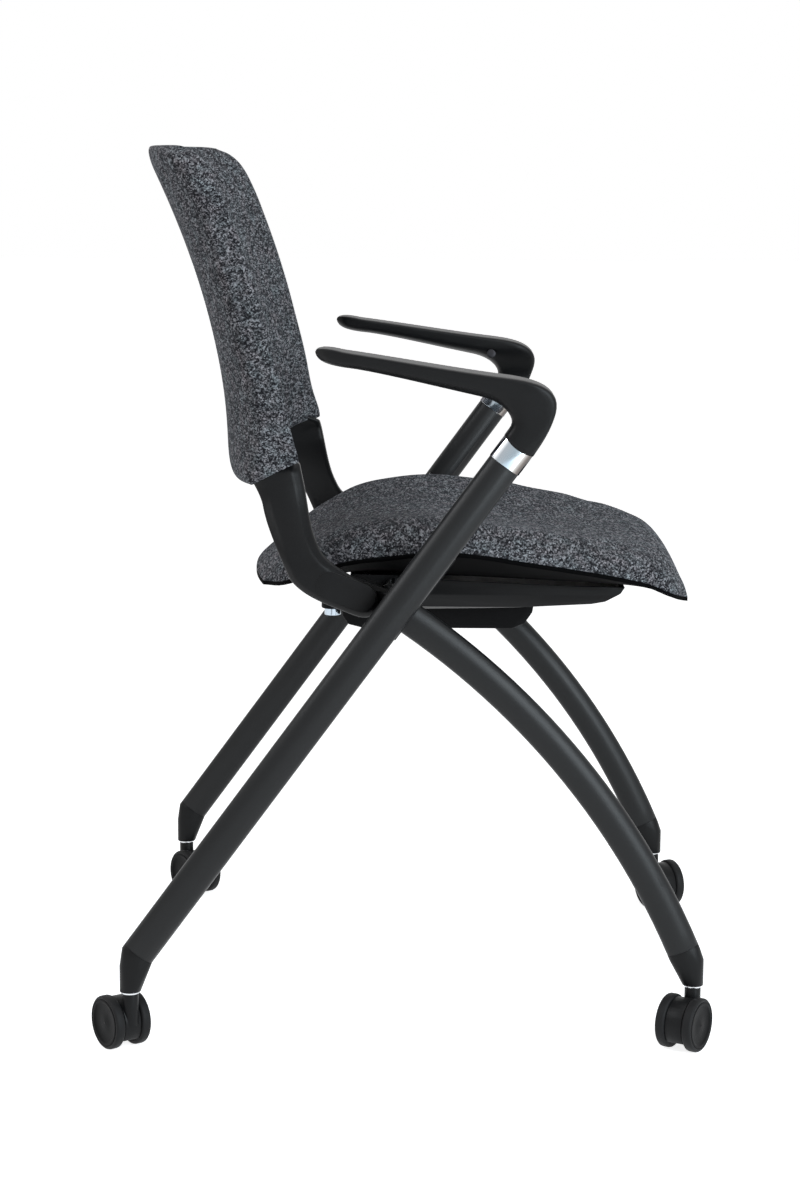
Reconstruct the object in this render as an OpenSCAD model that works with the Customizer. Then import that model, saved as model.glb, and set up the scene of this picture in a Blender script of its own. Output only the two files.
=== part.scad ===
// Nesting chair with a flip-up seat, armrests and castors.
// +X is forward, +Y is the sitter's left, +Z is up. The origin is on the floor, in the middle
// plane, halfway between the rear and the front castor stems. All lengths are in millimetres.

/* [Frame] */
// Half the distance from the rear to the front castor stems
stem_x = 259; // [250:1:268]
// Distance from the seat's side to the plane of the curved front leg
front_leg_gap = 22; // [21:0.5:23]
// Distance from the front leg's plane to the straight leg's plane
leg_offset = 35; // [33:1:41]
// Height of the cross beam, about which the seat flips
beam_z = 409; // [400:1:418]
// How far the cross beam lies behind the middle of the chair
beam_back = 20; // [14:1:26]
// Height at which the straight leg's centre line meets its castor stem
rear_knee = 82; // [78:1:86]
// Height at which the front leg's centre line meets its castor stem
front_knee = 66; // [62:1:70]
// Radius of the front leg's bend
front_arc = 722; // [660:1:800]
// Width of the leg tubes, seen from the side
tube_w = 30.5; // [28:0.5:32]
// Thickness of the leg tubes, seen from the front
tube_t = 21; // [20:0.5:22]
// Wall of the leg tubes
tube_wall = 2; // [1.5:0.25:2.5]
// Radius of the rounded edges of the leg tubes
tube_edge = 8; // [7:0.25:9]
// Radius of the cross beam
beam_r = 12.5; // [11:0.5:13]
// Length of the straight leg above the cross beam
leg_over_beam = 166; // [150:1:190]

/* [Side brackets] */
// Radius of the collars on the cross beam
hub_r = 20; // [18:0.5:22]
// Thickness of the lug that carries the upright
lug_t = 7.5; // [6:0.5:8]
// Length of the bracket along the straight leg, above the beam
bracket_rise = 71; // [66:1:80]
// How far the bracket reaches forward of the straight leg's middle line
bracket_front = 17.2; // [16:0.2:18]

/* [Armrests] */
// Length of the armrest from its neck to its tip
arm_len = 181; // [165:1:200]
// Height of the armrest's tip over the foot of its neck
arm_rise = 83; // [78:1:92]
// Width of the armrest's pad
arm_pad_w = 50; // [46:1:54]
// Length of the bright ring below the armrest
ring_len = 22; // [18:1:26]
// Wall of the bright ring
ring_wall = 2.6; // [2:0.1:3]

/* [Uprights] */
// Thickness of the upright
upright_t = 18; // [16:0.5:20]
// Length of the oval cap on the lobe
cap_len = 56; // [50:1:60]
// Width of the oval cap
cap_w = 25; // [22:1:28]
// Thickness of the oval cap
cap_t = 1.8; // [1.4:0.1:2.4]

/* [Back] */
// How much further the back reaches sideways than the seat
back_over_seat = 7; // [-4:1:13]
// Height of the top of the back over the floor
back_top = 822; // [790:1:850]
// Height of the back's lower edge over the floor, in its middle
back_bottom = 508; // [500:1:520]
// Thickness of the padded back in its middle
back_t = 30; // [26:1:36]
// How much thicker the padded back is at its sides
back_side_swell = 16; // [12:1:20]
// Distance from the middle of the chair to the lower back's rear face
back_rear_x = 186; // [180:1:196]
// How far the back's top leans behind its foot
back_sweep = 78; // [60:1:95]
// How far the back's sides come forward of its middle
back_wrap = 32; // [25:1:38]
// Thickness of the moulded back shell inside the upholstery
back_shell_t = 7; // [5:0.5:9]

/* [Seat] */
// Half the width of the seat
seat_half_w = 219; // [205:1:220]
// Length of the seat from its rear to its front edge
seat_len = 425; // [400:1:440]
// Height of the seat's highest point over the floor
seat_top = 482; // [474:1:490]
// Height range of the seat's curves
seat_drop = 100; // [90:1:104]
// Thickness of the seat's foam pad above the rim of its shell
pad_board = 6; // [4:0.5:9]
// Wall of the seat shell
shell_wall = 3; // [2.5:0.25:4]
// Half the width of the tray under the seat
tray_half_w = 150; // [135:1:160]
// Height of the tray's underside over the floor
tray_bottom = 388; // [386:1:393]
// Wall of the tray
tray_wall = 3; // [2.5:0.25:3.5]
// Half the width of the mechanism box
box_half_w = 75; // [65:1:85]
// Height of the mechanism box's underside over the floor
box_bottom = 361; // [350:1:364]

/* [Castors] */
// Radius of the wheels
wheel_r = 25; // [23:0.5:26]
// Thickness of each wheel
wheel_t = 9.5; // [8.5:0.25:10.5]
// Width of the castor's body between the wheels
fork_w = 16; // [14:0.5:18]
// Distance from the stem to the wheels' axle
trail = 17.5; // [16:0.5:19]
// Radius of the castor's stem
stem_r = 5.5; // [5:0.25:6]
// Radius of the wheels' axle
axle_r = 3; // [2.5:0.25:3.5]
// Height of the lower end of the leg's foot over the floor
foot_bottom = 57; // [55:1:60]

/* [Hidden] */
$fn = 64;

// Colours of the finishes
black_metal = "#26272a";
black_plastic = "#1d1e20";
bright_metal = "#c9ccd0";
dark_fabric = "#3a3f47";
tread_grey = "#3b3c3e";

// Gaps: a running fit, a seated piece, and an overrun that serves every cut
run_gap = 0.05;
seat_gap = 0.2;
over = 1;

// The seat's width sets the frame's and the back's
front_y = seat_half_w + front_leg_gap;
rear_y = front_y + leg_offset;
back_half_w = seat_half_w + back_over_seat;

// The seat lies about the cross beam: the share of its length that is behind the beam
seat_rear_share = 0.327;
seat_rear_x = beam_back + seat_rear_share * seat_len;

// Places that the frame's pieces share
beam_x = -beam_back;
lean = atan2(stem_x - beam_back, beam_z - rear_knee);
leg_under_beam = norm([stem_x - beam_back, beam_z - rear_knee]);
leg_inner_y = rear_y - tube_t / 2;
front_outer_y = front_y + tube_t / 2;
chord = [stem_x - beam_x, front_knee - beam_z];
arc_back = sqrt(pow(front_arc, 2) - pow(norm(chord) / 2, 2)) / norm(chord);
arc_x = beam_x + chord[0] / 2 + chord[1] * arc_back;
arc_z = beam_z + chord[1] / 2 - chord[0] * arc_back;

// The upright stands between the lug and the plane of the straight leg
upright_outer_y = front_outer_y - seat_gap * 2;
upright_inner_y = upright_outer_y - upright_t;
lug_outer_y = upright_inner_y - seat_gap;
lug_inner_y = lug_outer_y - lug_t;

// A point on a cubic curve, and the points along one
function bezier(p, t) =
    pow(1 - t, 3) * p[0] + 3 * t * pow(1 - t, 2) * p[1] + 3 * pow(t, 2) * (1 - t) * p[2] + pow(t, 3) * p[3];
function curve(p, steps) = [for (i = [0 : steps - 1]) bezier(p, i / steps)];

// A table's smooth value at share s. The rows are [share, values...] and c is the column.
function catmull(a, b, c, d, t) =
    b + t * (c - a) / 2 + pow(t, 2) * (a - 2.5 * b + 2 * c - d / 2)
    + pow(t, 3) * (1.5 * b - 1.5 * c + (d - a) / 2);
function row_below(table, s, i = 0) =
    i >= len(table) - 2 || s < table[i + 1][0] ? i : row_below(table, s, i + 1);
function smooth_at(table, c, s) =
    let (i = row_below(table, s), last = len(table) - 1,
         t = (s - table[i][0]) / (table[i + 1][0] - table[i][0]))
    catmull(table[max(i - 1, 0)][c], table[i][c], table[i + 1][c], table[min(i + 2, last)][c], t);

// A closed skin between an upper and a lower grid of points with the same rows and columns
module quilt(upper, lower) {
    rows = len(upper);
    cols = len(upper[0]);
    n = rows * cols;
    top = [for (r = upper, p = r) p];
    bottom = [for (r = lower, p = r) p];
    rim = concat(
        [for (j = [0 : cols - 1]) j],
        [for (i = [1 : rows - 1]) i * cols + cols - 1],
        [for (j = [cols - 2 : -1 : 0]) (rows - 1) * cols + j],
        [for (i = [rows - 2 : -1 : 1]) i * cols]
    );
    quads = [for (i = [0 : rows - 2], j = [0 : cols - 2])
        [i * cols + j, i * cols + j + 1, (i + 1) * cols + j + 1, (i + 1) * cols + j]];
    faces = concat(
        [for (q = quads) [q[0], q[1], q[2]]],
        [for (q = quads) [q[0], q[2], q[3]]],
        [for (q = quads) [n + q[0], n + q[2], n + q[1]]],
        [for (q = quads) [n + q[0], n + q[3], n + q[2]]],
        [for (k = [0 : len(rim) - 1]) let (a = rim[k], b = rim[(k + 1) % len(rim)]) [b, a, n + a]],
        [for (k = [0 : len(rim) - 1]) let (a = rim[k], b = rim[(k + 1) % len(rim)]) [b, n + a, n + b]]
    );
    polyhedron(points = concat(top, bottom), faces = faces, convexity = 4);
}

// Flat-oval section of a leg tube: two round edges joined by two wide arcs that touch them
module oval(w, t, edge) {
    side_r = (pow(w / 2 - edge, 2) + pow(t / 2, 2) - pow(edge, 2)) / (t - 2 * edge);
    touch = (w / 2 - edge) * side_r / (side_r - edge);
    for (s = [-1, 1]) translate([s * (w / 2 - edge), 0]) circle(r = edge);
    intersection() {
        translate([0, side_r - t / 2]) circle(r = side_r, $fn = 128);
        translate([0, t / 2 - side_r]) circle(r = side_r, $fn = 128);
        square([2 * touch, t], center = true);
    }
}

// Places a piece made for the left side on the side s, which is 1 for left and -1 for right
module on_side(s) {
    if (s > 0) children();
    else mirror([0, 1, 0]) children();
}

// The straight leg's own axes: Z up along the leg, X forward across it, the origin on the beam
module along_leg(y) {
    translate([beam_x, y, beam_z]) rotate([0, lean, 0]) children();
}

// A cylinder along Y about the point x, z, from y0 to y1
module pin_y(x, z, r, y0, y1) {
    translate([x, y0, z]) rotate([-90, 0, 0]) cylinder(r = r, h = y1 - y0);
}

// A side outline in X and Z, made solid from y0 to y1
module slab_y(y0, y1) {
    translate([0, y1, 0]) rotate([90, 0, 0]) linear_extrude(height = y1 - y0) children();
}

// Straight legs

leg_foot_rise = 14;
leg_spigot_w = tube_w - 2 * tube_wall - 2 * run_gap;
leg_spigot_t = tube_t - 2 * tube_wall - 2 * run_gap;
leg_spigot_edge = tube_edge - tube_wall - run_gap;
spigot_in_leg = 30;
spigot_in_arm = 12;
spigot_top = leg_over_beam + ring_len + spigot_in_arm;
bolt_r = 3;
bolt_head_r = 6.2;
bolt_head_t = 4;
bolt_across = 11.4;
bolt_rises = [42, 63.5];

// Tube from its foot to the ring, with the inner sleeve that holds the ring and the armrest
module rear_leg(s) color(black_metal) on_side(s) difference() {
    along_leg(rear_y) {
        difference() {
            translate([0, 0, leg_foot_rise - leg_under_beam])
                linear_extrude(height = leg_under_beam - leg_foot_rise + leg_over_beam)
                    oval(tube_w, tube_t, tube_edge);
            translate([0, 0, leg_foot_rise - leg_under_beam - over])
                linear_extrude(height = leg_under_beam - leg_foot_rise + leg_over_beam - spigot_in_leg + over)
                    oval(tube_w - 2 * tube_wall, tube_t - 2 * tube_wall, tube_edge - tube_wall);
        }
        translate([0, 0, leg_over_beam - over])
            linear_extrude(height = spigot_top - leg_over_beam + over)
                oval(leg_spigot_w, leg_spigot_t, leg_spigot_edge);
    }
    along_leg(0) for (z = bolt_rises)
        pin_y(bolt_across, z, bolt_r + run_gap, leg_inner_y - over, rear_y);
}

// Feet: a moulded end that closes the tube and turns it upright over the castor

foot_r = 9.7;
foot_shoulder = 24;
foot_cap = 5;
foot_plug = 14;
stem_depth = 24;

module foot_cap_at(w, t, edge) {
    linear_extrude(height = foot_cap) oval(w, t, edge);
}

module foot_socket(x, y) {
    translate([x, y, foot_bottom - over]) cylinder(r = stem_r + run_gap, h = stem_depth + over);
}

module rear_foot(s) color(black_plastic) on_side(s) difference() {
    union() {
        hull() {
            translate([-stem_x, rear_y, foot_bottom]) cylinder(r = foot_r, h = foot_shoulder, $fn = 32);
            along_leg(rear_y) translate([0, 0, leg_foot_rise - leg_under_beam - foot_cap - seat_gap])
                foot_cap_at(tube_w, tube_t, tube_edge, $fn = 32);
        }
        along_leg(rear_y) translate([0, 0, leg_foot_rise - leg_under_beam - foot_cap])
            linear_extrude(height = foot_cap + foot_plug)
                oval(leg_spigot_w, leg_spigot_t, leg_spigot_edge);
    }
    foot_socket(-stem_x, rear_y);
}

// Front legs: the tube bends forward and down from the bracket's hub

front_foot_turn = 2.1;
turn_at_foot = asin((front_knee - arc_z) / front_arc) + front_foot_turn;
turn_at_beam = asin((beam_z - arc_z) / front_arc);

// A section swept along the front leg's bend, from the turn a0 to the turn a1
module along_front(a0, a1) {
    translate([arc_x, front_y, arc_z]) rotate([90, 0, 0]) rotate([0, 0, a0])
        rotate_extrude(angle = a1 - a0, $fn = 180) translate([front_arc, 0]) children();
}

module front_leg(s) color(black_metal) on_side(s) difference() {
    along_front(turn_at_foot, turn_at_beam) difference() {
        oval(tube_w, tube_t, tube_edge);
        oval(tube_w - 2 * tube_wall, tube_t - 2 * tube_wall, tube_edge - tube_wall);
    }
    pin_y(beam_x, beam_z, beam_r + seat_gap, front_y - tube_t, front_y + tube_t);
    pin_y(beam_x, beam_z, hub_r + seat_gap, front_y - tube_t, lug_outer_y + seat_gap);
}

module front_foot(s) color(black_plastic) on_side(s) difference() {
    union() {
        hull() {
            translate([stem_x, front_y, foot_bottom]) cylinder(r = foot_r, h = foot_shoulder, $fn = 32);
            translate([arc_x, front_y, arc_z]) rotate([0, 90 - turn_at_foot, 0])
                translate([0, 0, front_arc]) rotate([0, 90, 0]) translate([0, 0, seat_gap])
                    linear_extrude(height = foot_cap)
                        oval(tube_w, tube_t, tube_edge, $fn = 32);
        }
        along_front(turn_at_foot - atan(foot_cap / front_arc), turn_at_foot + atan(foot_plug / front_arc))
            oval(leg_spigot_w, leg_spigot_t, leg_spigot_edge);
    }
    foot_socket(stem_x, front_y);
}

// Cross beam and side brackets

// The lug points down and back along the lobe of the upright
bracket_rear = tube_w / 2 - tube_wall;
beam_socket = 8;
beam_end_y = front_outer_y + seat_gap + beam_socket;
lobe_tilt = 20;
lobe_reach = 46;
upright_bolt_r = 4;
upright_bolt_head_r = 6.5;
upright_bolt_head_t = 4.6;
upright_bolt_at = [-14, 14];
lug_w = 24;

// The lobe's own axes: X forward and down along the lobe, the origin at the middle of its cap
module along_lobe() {
    translate([beam_x, 0, beam_z]) rotate([0, lobe_tilt, 0]) translate([-lobe_reach, 0, 0]) children();
}

// Tube with a lug and a collar welded on near each end
module cross_beam() color(black_metal) difference() {
    union() {
        pin_y(beam_x, beam_z, beam_r, -beam_end_y, beam_end_y);
        for (s = [-1, 1]) on_side(s) {
            pin_y(beam_x, beam_z, hub_r, lug_inner_y, lug_outer_y);
            along_lobe() translate([-cap_len / 2, lug_inner_y, -lug_w / 2])
                cube([cap_len / 2 + lobe_reach, lug_t, lug_w]);
        }
    }
    pin_y(beam_x, beam_z, beam_r - tube_wall, -beam_end_y - over, beam_end_y + over);
    for (s = [-1, 1]) on_side(s) along_lobe() for (x = upright_bolt_at)
        pin_y(x, 0, upright_bolt_r + run_gap, lug_inner_y - over, lug_outer_y + over);
}

// Block between the straight leg and the front leg, with a socket for the end of the beam
module side_bracket(s) color(black_metal) on_side(s) difference() {
    along_leg(0) translate([-bracket_rear, front_outer_y + seat_gap, -hub_r])
        cube([bracket_rear + bracket_front, leg_inner_y - front_outer_y - 2 * seat_gap, hub_r + bracket_rise]);
    pin_y(beam_x, beam_z, beam_r + run_gap, front_outer_y, beam_end_y + seat_gap);
    along_leg(0) for (z = bolt_rises)
        pin_y(bolt_across, z, bolt_r + run_gap, front_outer_y, leg_inner_y);
}

module bracket_bolts() color(bright_metal) for (s = [-1, 1]) on_side(s) along_leg(0)
    for (z = bolt_rises) {
        pin_y(bolt_across, z, bolt_r, front_outer_y, leg_inner_y + tube_wall);
        pin_y(bolt_across, z, bolt_head_r, front_outer_y + seat_gap - bolt_head_t, front_outer_y + seat_gap - run_gap);
    }

// Armrests and their bright rings

module arm_ring(s) color(bright_metal) on_side(s) along_leg(rear_y)
    translate([0, 0, leg_over_beam + run_gap]) difference() {
        linear_extrude(height = ring_len - 2 * run_gap)
            oval(leg_spigot_w + 2 * ring_wall, leg_spigot_t + 2 * ring_wall, leg_spigot_edge + ring_wall);
        translate([0, 0, -over]) linear_extrude(height = ring_len + 2 * over)
            oval(leg_spigot_w + 2 * run_gap, leg_spigot_t + 2 * run_gap, leg_spigot_edge + run_gap);
    }

// The foot of the armrest's neck, and the two corners of the neck there
neck_x = beam_x + (leg_over_beam + ring_len) * sin(lean);
neck_z = beam_z + (leg_over_beam + ring_len) * cos(lean);
neck_step = 0.65;
neck_w = tube_w + 2 * neck_step;
neck_front = [neck_w / 2 * cos(lean), -neck_w / 2 * sin(lean)];
neck_rear = -neck_front;

// Side outline of the armrest, in shares of its length and rise, from the front of its neck
arm_front_share = [[0.123, 0.042], [0.168, 0.19], [0.178, 0.36]];
arm_corner_share = [[0.187, 0.57], [0.05, 0.7], [-0.11, 0.745]];
arm_top_share = [[-0.35, 0.81], [-0.65, 0.92], [-0.86, 0.98]];
arm_tip_share = [[-0.93, 1.02], [-1, 1.03], [-1, 0.965]];
arm_under_share = [[-1, 0.84], [-0.9, 0.81], [-0.81, 0.79]];
arm_low_share = [[-0.65, 0.74], [-0.4, 0.61], [-0.2, 0.52]];
arm_throat_share = [[-0.04, 0.45], [-0.02, 0.24], [-0.045, 0.2]];
function arm_points(shares) = [for (p = shares) [p[0] * arm_len, p[1] * arm_rise]];
function arm_span(from, shares) = curve(concat([from], arm_points(shares)), 7);
function last_point(shares) = arm_points(shares)[2];
arm_outline = concat(
    arm_span(neck_front, arm_front_share),
    arm_span(last_point(arm_front_share), arm_corner_share),
    arm_span(last_point(arm_corner_share), arm_top_share),
    arm_span(last_point(arm_top_share), arm_tip_share),
    arm_span(last_point(arm_tip_share), arm_under_share),
    arm_span(last_point(arm_under_share), arm_low_share),
    arm_span(last_point(arm_low_share), arm_throat_share),
    [last_point(arm_throat_share), neck_rear]
);

// Plan of the armrest: how far its middle lies inside the leg's plane, from the neck to the tip
arm_shift_tip = 25;
arm_shift_front = 6;
arm_plan_share = [[0, 0.78], [0.1, 0.94], [0.3, 1], [0.6, 1], [0.85, 0.92], [0.96, 0.72], [1, 0.36]];
arm_front_reach = 0.2;
function arm_middle(u) = rear_y - arm_shift_front - (arm_shift_tip - arm_shift_front) * pow(u, 1.5);
function arm_edge(side) = [for (p = arm_plan_share)
    [neck_x + arm_len * (arm_front_reach - p[0] * (1 + arm_front_reach)),
     arm_middle(p[0]) + side * arm_pad_w / 2 * p[1]]];
function backwards(list) = [for (i = [len(list) - 1 : -1 : 0]) list[i]];

// Front view of the armrest: a narrow neck below, the full width of the pad above
neck_t = 25;
neck_top_share = 0.3;
pad_low_share = 0.56;

// The screw sits in a recess of the armrest's inner face, and runs level into its core
arm_screw_back = 14.8;
arm_screw_rise = 44.2;
arm_screw_r = 2.5;
arm_screw_head_r = 4.5;
arm_screw_head_t = 2.6;
arm_screw_recess = 5;
arm_screw_len = 14;
arm_screw_x = neck_x - arm_screw_back;
arm_screw_z = neck_z + arm_screw_rise;
arm_screw_turn = (arm_front_reach + arm_screw_back / arm_len) / (1 + arm_front_reach);
arm_screw_y = arm_middle(arm_screw_turn) - arm_pad_w / 2 + arm_screw_recess;

module armrest(s) color(black_plastic) on_side(s) difference() {
    intersection() {
        translate([neck_x, 0, neck_z]) slab_y(rear_y - arm_pad_w, rear_y + arm_pad_w)
            polygon(arm_outline);
        translate([0, 0, neck_z - arm_rise]) linear_extrude(height = 3 * arm_rise)
            polygon(concat(arm_edge(1), backwards(arm_edge(-1))));
        translate([neck_x - 2 * arm_len, 0, neck_z]) rotate([90, 0, 90]) linear_extrude(height = 3 * arm_len)
            polygon([
                [rear_y - neck_t / 2, -arm_rise / 2],
                [rear_y + neck_t / 2, -arm_rise / 2],
                [rear_y + neck_t / 2, neck_top_share * arm_rise],
                [rear_y + arm_pad_w, pad_low_share * arm_rise],
                [rear_y + arm_pad_w, 2 * arm_rise],
                [rear_y - 2 * arm_pad_w, 2 * arm_rise],
                [rear_y - 2 * arm_pad_w, pad_low_share * arm_rise],
                [rear_y - arm_pad_w, pad_low_share * arm_rise],
                [rear_y - neck_t / 2, neck_top_share * arm_rise]
            ]);
    }
    along_leg(rear_y) translate([0, 0, leg_over_beam + ring_len - over])
        linear_extrude(height = spigot_in_arm + over + seat_gap)
            oval(leg_spigot_w + 2 * run_gap, leg_spigot_t + 2 * run_gap, leg_spigot_edge + run_gap);
    pin_y(arm_screw_x, arm_screw_z, arm_screw_r + run_gap, arm_screw_y - over, arm_screw_y + arm_screw_len);
    pin_y(arm_screw_x, arm_screw_z, arm_screw_head_r + run_gap, rear_y - 2 * arm_pad_w, arm_screw_y);
}

module arm_screws() color(bright_metal) for (s = [-1, 1]) on_side(s) {
    pin_y(arm_screw_x, arm_screw_z, arm_screw_r, arm_screw_y - arm_screw_head_t, arm_screw_y + arm_screw_len - seat_gap);
    pin_y(arm_screw_x, arm_screw_z, arm_screw_head_r, arm_screw_y - arm_screw_head_t, arm_screw_y - run_gap);
}

// Uprights: moulded arms that carry the back

// Side outline of the upright, in shares of its height and of its depth, from the lobe's end
upright_depth = 116;
upright_h = 150;
upright_low_share = [[0, -0.03], [-0.07, -0.055], [-0.2, -0.015]];
upright_heel_share = [[-0.42, 0.05], [-0.6, 0.1], [-0.68, 0.205]];
upright_rear_share = [[-0.77, 0.38], [-0.86, 0.5], [-0.9, 0.63]];
upright_end_share = [[-0.97, 0.78], [-0.63, 0.872]];
upright_front_share = [[-0.645, 0.75], [-0.615, 0.56], [-0.535, 0.435]];
upright_instep_share = [[-0.47, 0.33], [-0.36, 0.28], [-0.142, 0.187]];
upright_toe_share = [[-0.05, 0.155], [0, 0.14], [0, 0.07]];
upright_beam_gap = 2;
upright_drop = 4;
upright_x = beam_x - beam_r - upright_beam_gap;
upright_z = beam_z - upright_drop;
function upright_points(shares) = [for (p = shares) [p[0] * upright_depth, p[1] * upright_h]];
function upright_span(from, shares) = curve(concat([from], upright_points(shares)), 7);
upright_outline = concat(
    upright_span(upright_points(upright_toe_share)[2], upright_low_share),
    upright_span(upright_points(upright_low_share)[2], upright_heel_share),
    upright_span(upright_points(upright_heel_share)[2], upright_rear_share),
    [upright_points(upright_rear_share)[2]],
    [upright_points(upright_end_share)[0]],
    upright_span(upright_points(upright_end_share)[1], upright_front_share),
    upright_span(upright_points(upright_front_share)[2], upright_instep_share),
    upright_span(upright_points(upright_instep_share)[2], upright_toe_share)
);

// The upright leans inwards, so that its top lies in the back's side
upright_lean_from = 0.28;
upright_lean_to = 0.74;
upright_inset = 4;
upright_top_y = back_half_w - upright_inset;

module cap_outline(grow) {
    for (s = [-1, 1]) translate([s * (cap_len - cap_w) / 2, 0]) circle(r = cap_w / 2 + grow);
    square([cap_len - cap_w, cap_w + 2 * grow], center = true);
}

// Tongue on the upright's end, which slides up into the back behind its shell
tongue_t = 8;
tongue_w = 12;
tongue_len = 26;
tongue_share = [-0.965, 0.7];
module tongue(grow) {
    translate([upright_x + tongue_share[0] * upright_depth - grow,
        upright_top_y - upright_t / 2 - tongue_t / 2 - grow, upright_z + tongue_share[1] * upright_h - grow])
        cube([tongue_w + 2 * grow, tongue_t + 2 * grow, tongue_len + 2 * grow]);
}

// Front view of the upright, which leans inwards over the lobe
module upright_front(grow = 0) {
    translate([upright_x - 2 * upright_depth, 0, upright_z]) rotate([90, 0, 90])
        linear_extrude(height = 3 * upright_depth) polygon([
            [upright_inner_y - grow, -upright_h],
            [upright_outer_y + grow, -upright_h],
            [upright_outer_y + grow, upright_lean_from * upright_h],
            [upright_top_y + grow, upright_lean_to * upright_h],
            [upright_top_y + grow, 2 * upright_h],
            [upright_top_y - upright_t - grow, 2 * upright_h],
            [upright_top_y - upright_t - grow, upright_lean_to * upright_h],
            [upright_inner_y - grow, upright_lean_from * upright_h]
        ]);
}

// The room that the upright's end takes in the back
module upright_form(grow) intersection() {
    translate([upright_x, 0, upright_z]) slab_y(upright_top_y - 2 * upright_t, upright_outer_y)
        offset(delta = grow) polygon(upright_outline);
    upright_front(grow);
}

module upright(s) color(black_plastic) on_side(s) difference() {
    union() {
        tongue(0);
        intersection() {
            translate([upright_x, 0, upright_z]) slab_y(upright_top_y - 2 * upright_t, upright_outer_y)
                polygon(upright_outline);
            upright_front();
        }
    }
    along_lobe() {
        translate([0, upright_outer_y + over, 0]) rotate([90, 0, 0])
            linear_extrude(height = upright_bolt_head_t + cap_t + seat_gap + over) cap_outline(run_gap * 2);
        for (x = upright_bolt_at)
            pin_y(x, 0, upright_bolt_r + run_gap, upright_inner_y - over, upright_outer_y);
    }
}

module upright_cap(s) color(black_plastic) on_side(s) along_lobe()
    translate([0, upright_outer_y, 0]) rotate([90, 0, 0]) linear_extrude(height = cap_t) cap_outline(0);

module upright_bolts() color(bright_metal) for (s = [-1, 1]) on_side(s) along_lobe()
    for (x = upright_bolt_at) {
        pin_y(x, 0, upright_bolt_r, lug_inner_y, upright_outer_y - cap_t - upright_bolt_head_t);
        pin_y(x, 0, upright_bolt_head_r, upright_outer_y - cap_t - seat_gap - upright_bolt_head_t,
            upright_outer_y - cap_t - seat_gap);
    }

// Back: a moulded shell between a front pad and a rear cover

back_rows = 18;
back_cols = 18;
back_curve_foot = 0.12;
back_curve_power = 1.65;
// Rows are [share of the height, share of the half width, side wrap share]
back_side_share = [
    [0, 0.95, 1.38], [0.04, 0.98, 1.36], [0.12, 1, 1.27], [0.25, 1, 1.04], [0.4, 1, 0.93],
    [0.6, 0.995, 0.9], [0.75, 0.985, 0.9], [0.87, 0.965, 0.88], [0.94, 0.93, 0.78], [0.98, 0.88, 0.65], [1, 0.81, 0.55]
];
// How far the lower edge rises towards the sides, and from the rear face to the front face
back_foot_rise = 21;
back_foot_tilt = 16;
// Rounding of the rear face and of the front face: the share of the thickness left at the rim, and the power
back_rim_shares = [0.7, 0.35];
back_edge_powers = [24, 12];
skin_gap = 0.4;

// Runs from -1 to 1 as t does, with shorter steps near both ends
function eased(t) = t * (1.5 - 0.5 * pow(t, 2));
function back_thick(v) = back_t + back_side_swell * pow(v, 2);
function back_rear(u, v) =
    -back_rear_x - back_sweep * pow(max(0, u - back_curve_foot) / (1 - back_curve_foot), back_curve_power)
    + back_wrap * smooth_at(back_side_share, 2, u) * pow(v, 2);
function back_round(e, k) =
    back_rim_shares[k] + (1 - back_rim_shares[k]) * sqrt(1 - min(1, pow(e, back_edge_powers[k])));
// The point at the share u of the height and v of the half width. The side d is -1 on the rear face,
// 0 in the middle of the thickness and 1 on the front face, and shift moves the point forwards.
function back_point(u, v, d, shift) =
    let (k = d > 0 ? 1 : 0, out = d * back_round(v, k) * back_round(2 * u - 1, k))
    [back_rear(u, v) + back_thick(v) / 2 * (1 + out) + shift,
     v * back_half_w * smooth_at(back_side_share, 1, u),
     back_bottom + back_foot_rise * pow(v, 2) * (1 - u) + (back_top - back_bottom) * u
     + back_foot_tilt / 2 * out * pow(1 - u, 3)];
function on_rim(i, j) = i == 0 || j == 0 || i == back_rows || j == back_cols;
// A grid of such points without its outer rings, moved by rim_shift on the rim and by shift inside it
function back_grid(d, shift, rim_shift, ring = 0) = [for (i = [ring : back_rows - ring])
    let (u = (1 + eased(2 * i / back_rows - 1)) / 2)
    [for (j = [ring : back_cols - ring])
        back_point(u, eased(2 * j / back_cols - 1), d, on_rim(i, j) ? rim_shift : shift)]];
split = back_shell_t / 2 + skin_gap;

// The end of the upright seats in the lower corners of the shell, the pad and the cover
module back_shell() color(black_plastic) difference() {
    quilt(back_grid(0, -back_shell_t / 2, 0, 1), back_grid(0, back_shell_t / 2, 0, 1));
    for (s = [-1, 1]) on_side(s) upright_form(seat_gap);
}

module back_pad() color(dark_fabric) difference() {
    quilt(back_grid(0, split, skin_gap / 2), back_grid(1, 0, 0));
    for (s = [-1, 1]) on_side(s) upright_form(seat_gap);
}

module back_cover() color(dark_fabric) difference() {
    quilt(back_grid(-1, 0, 0), back_grid(0, -split, -skin_gap / 2));
    for (s = [-1, 1]) on_side(s) {
        upright_form(seat_gap);
        tongue(seat_gap);
    }
}

// Seat: a foam pad on a moulded shell, with a tray and a latch box below

seat_rows = 20;
seat_cols = 18;
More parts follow.
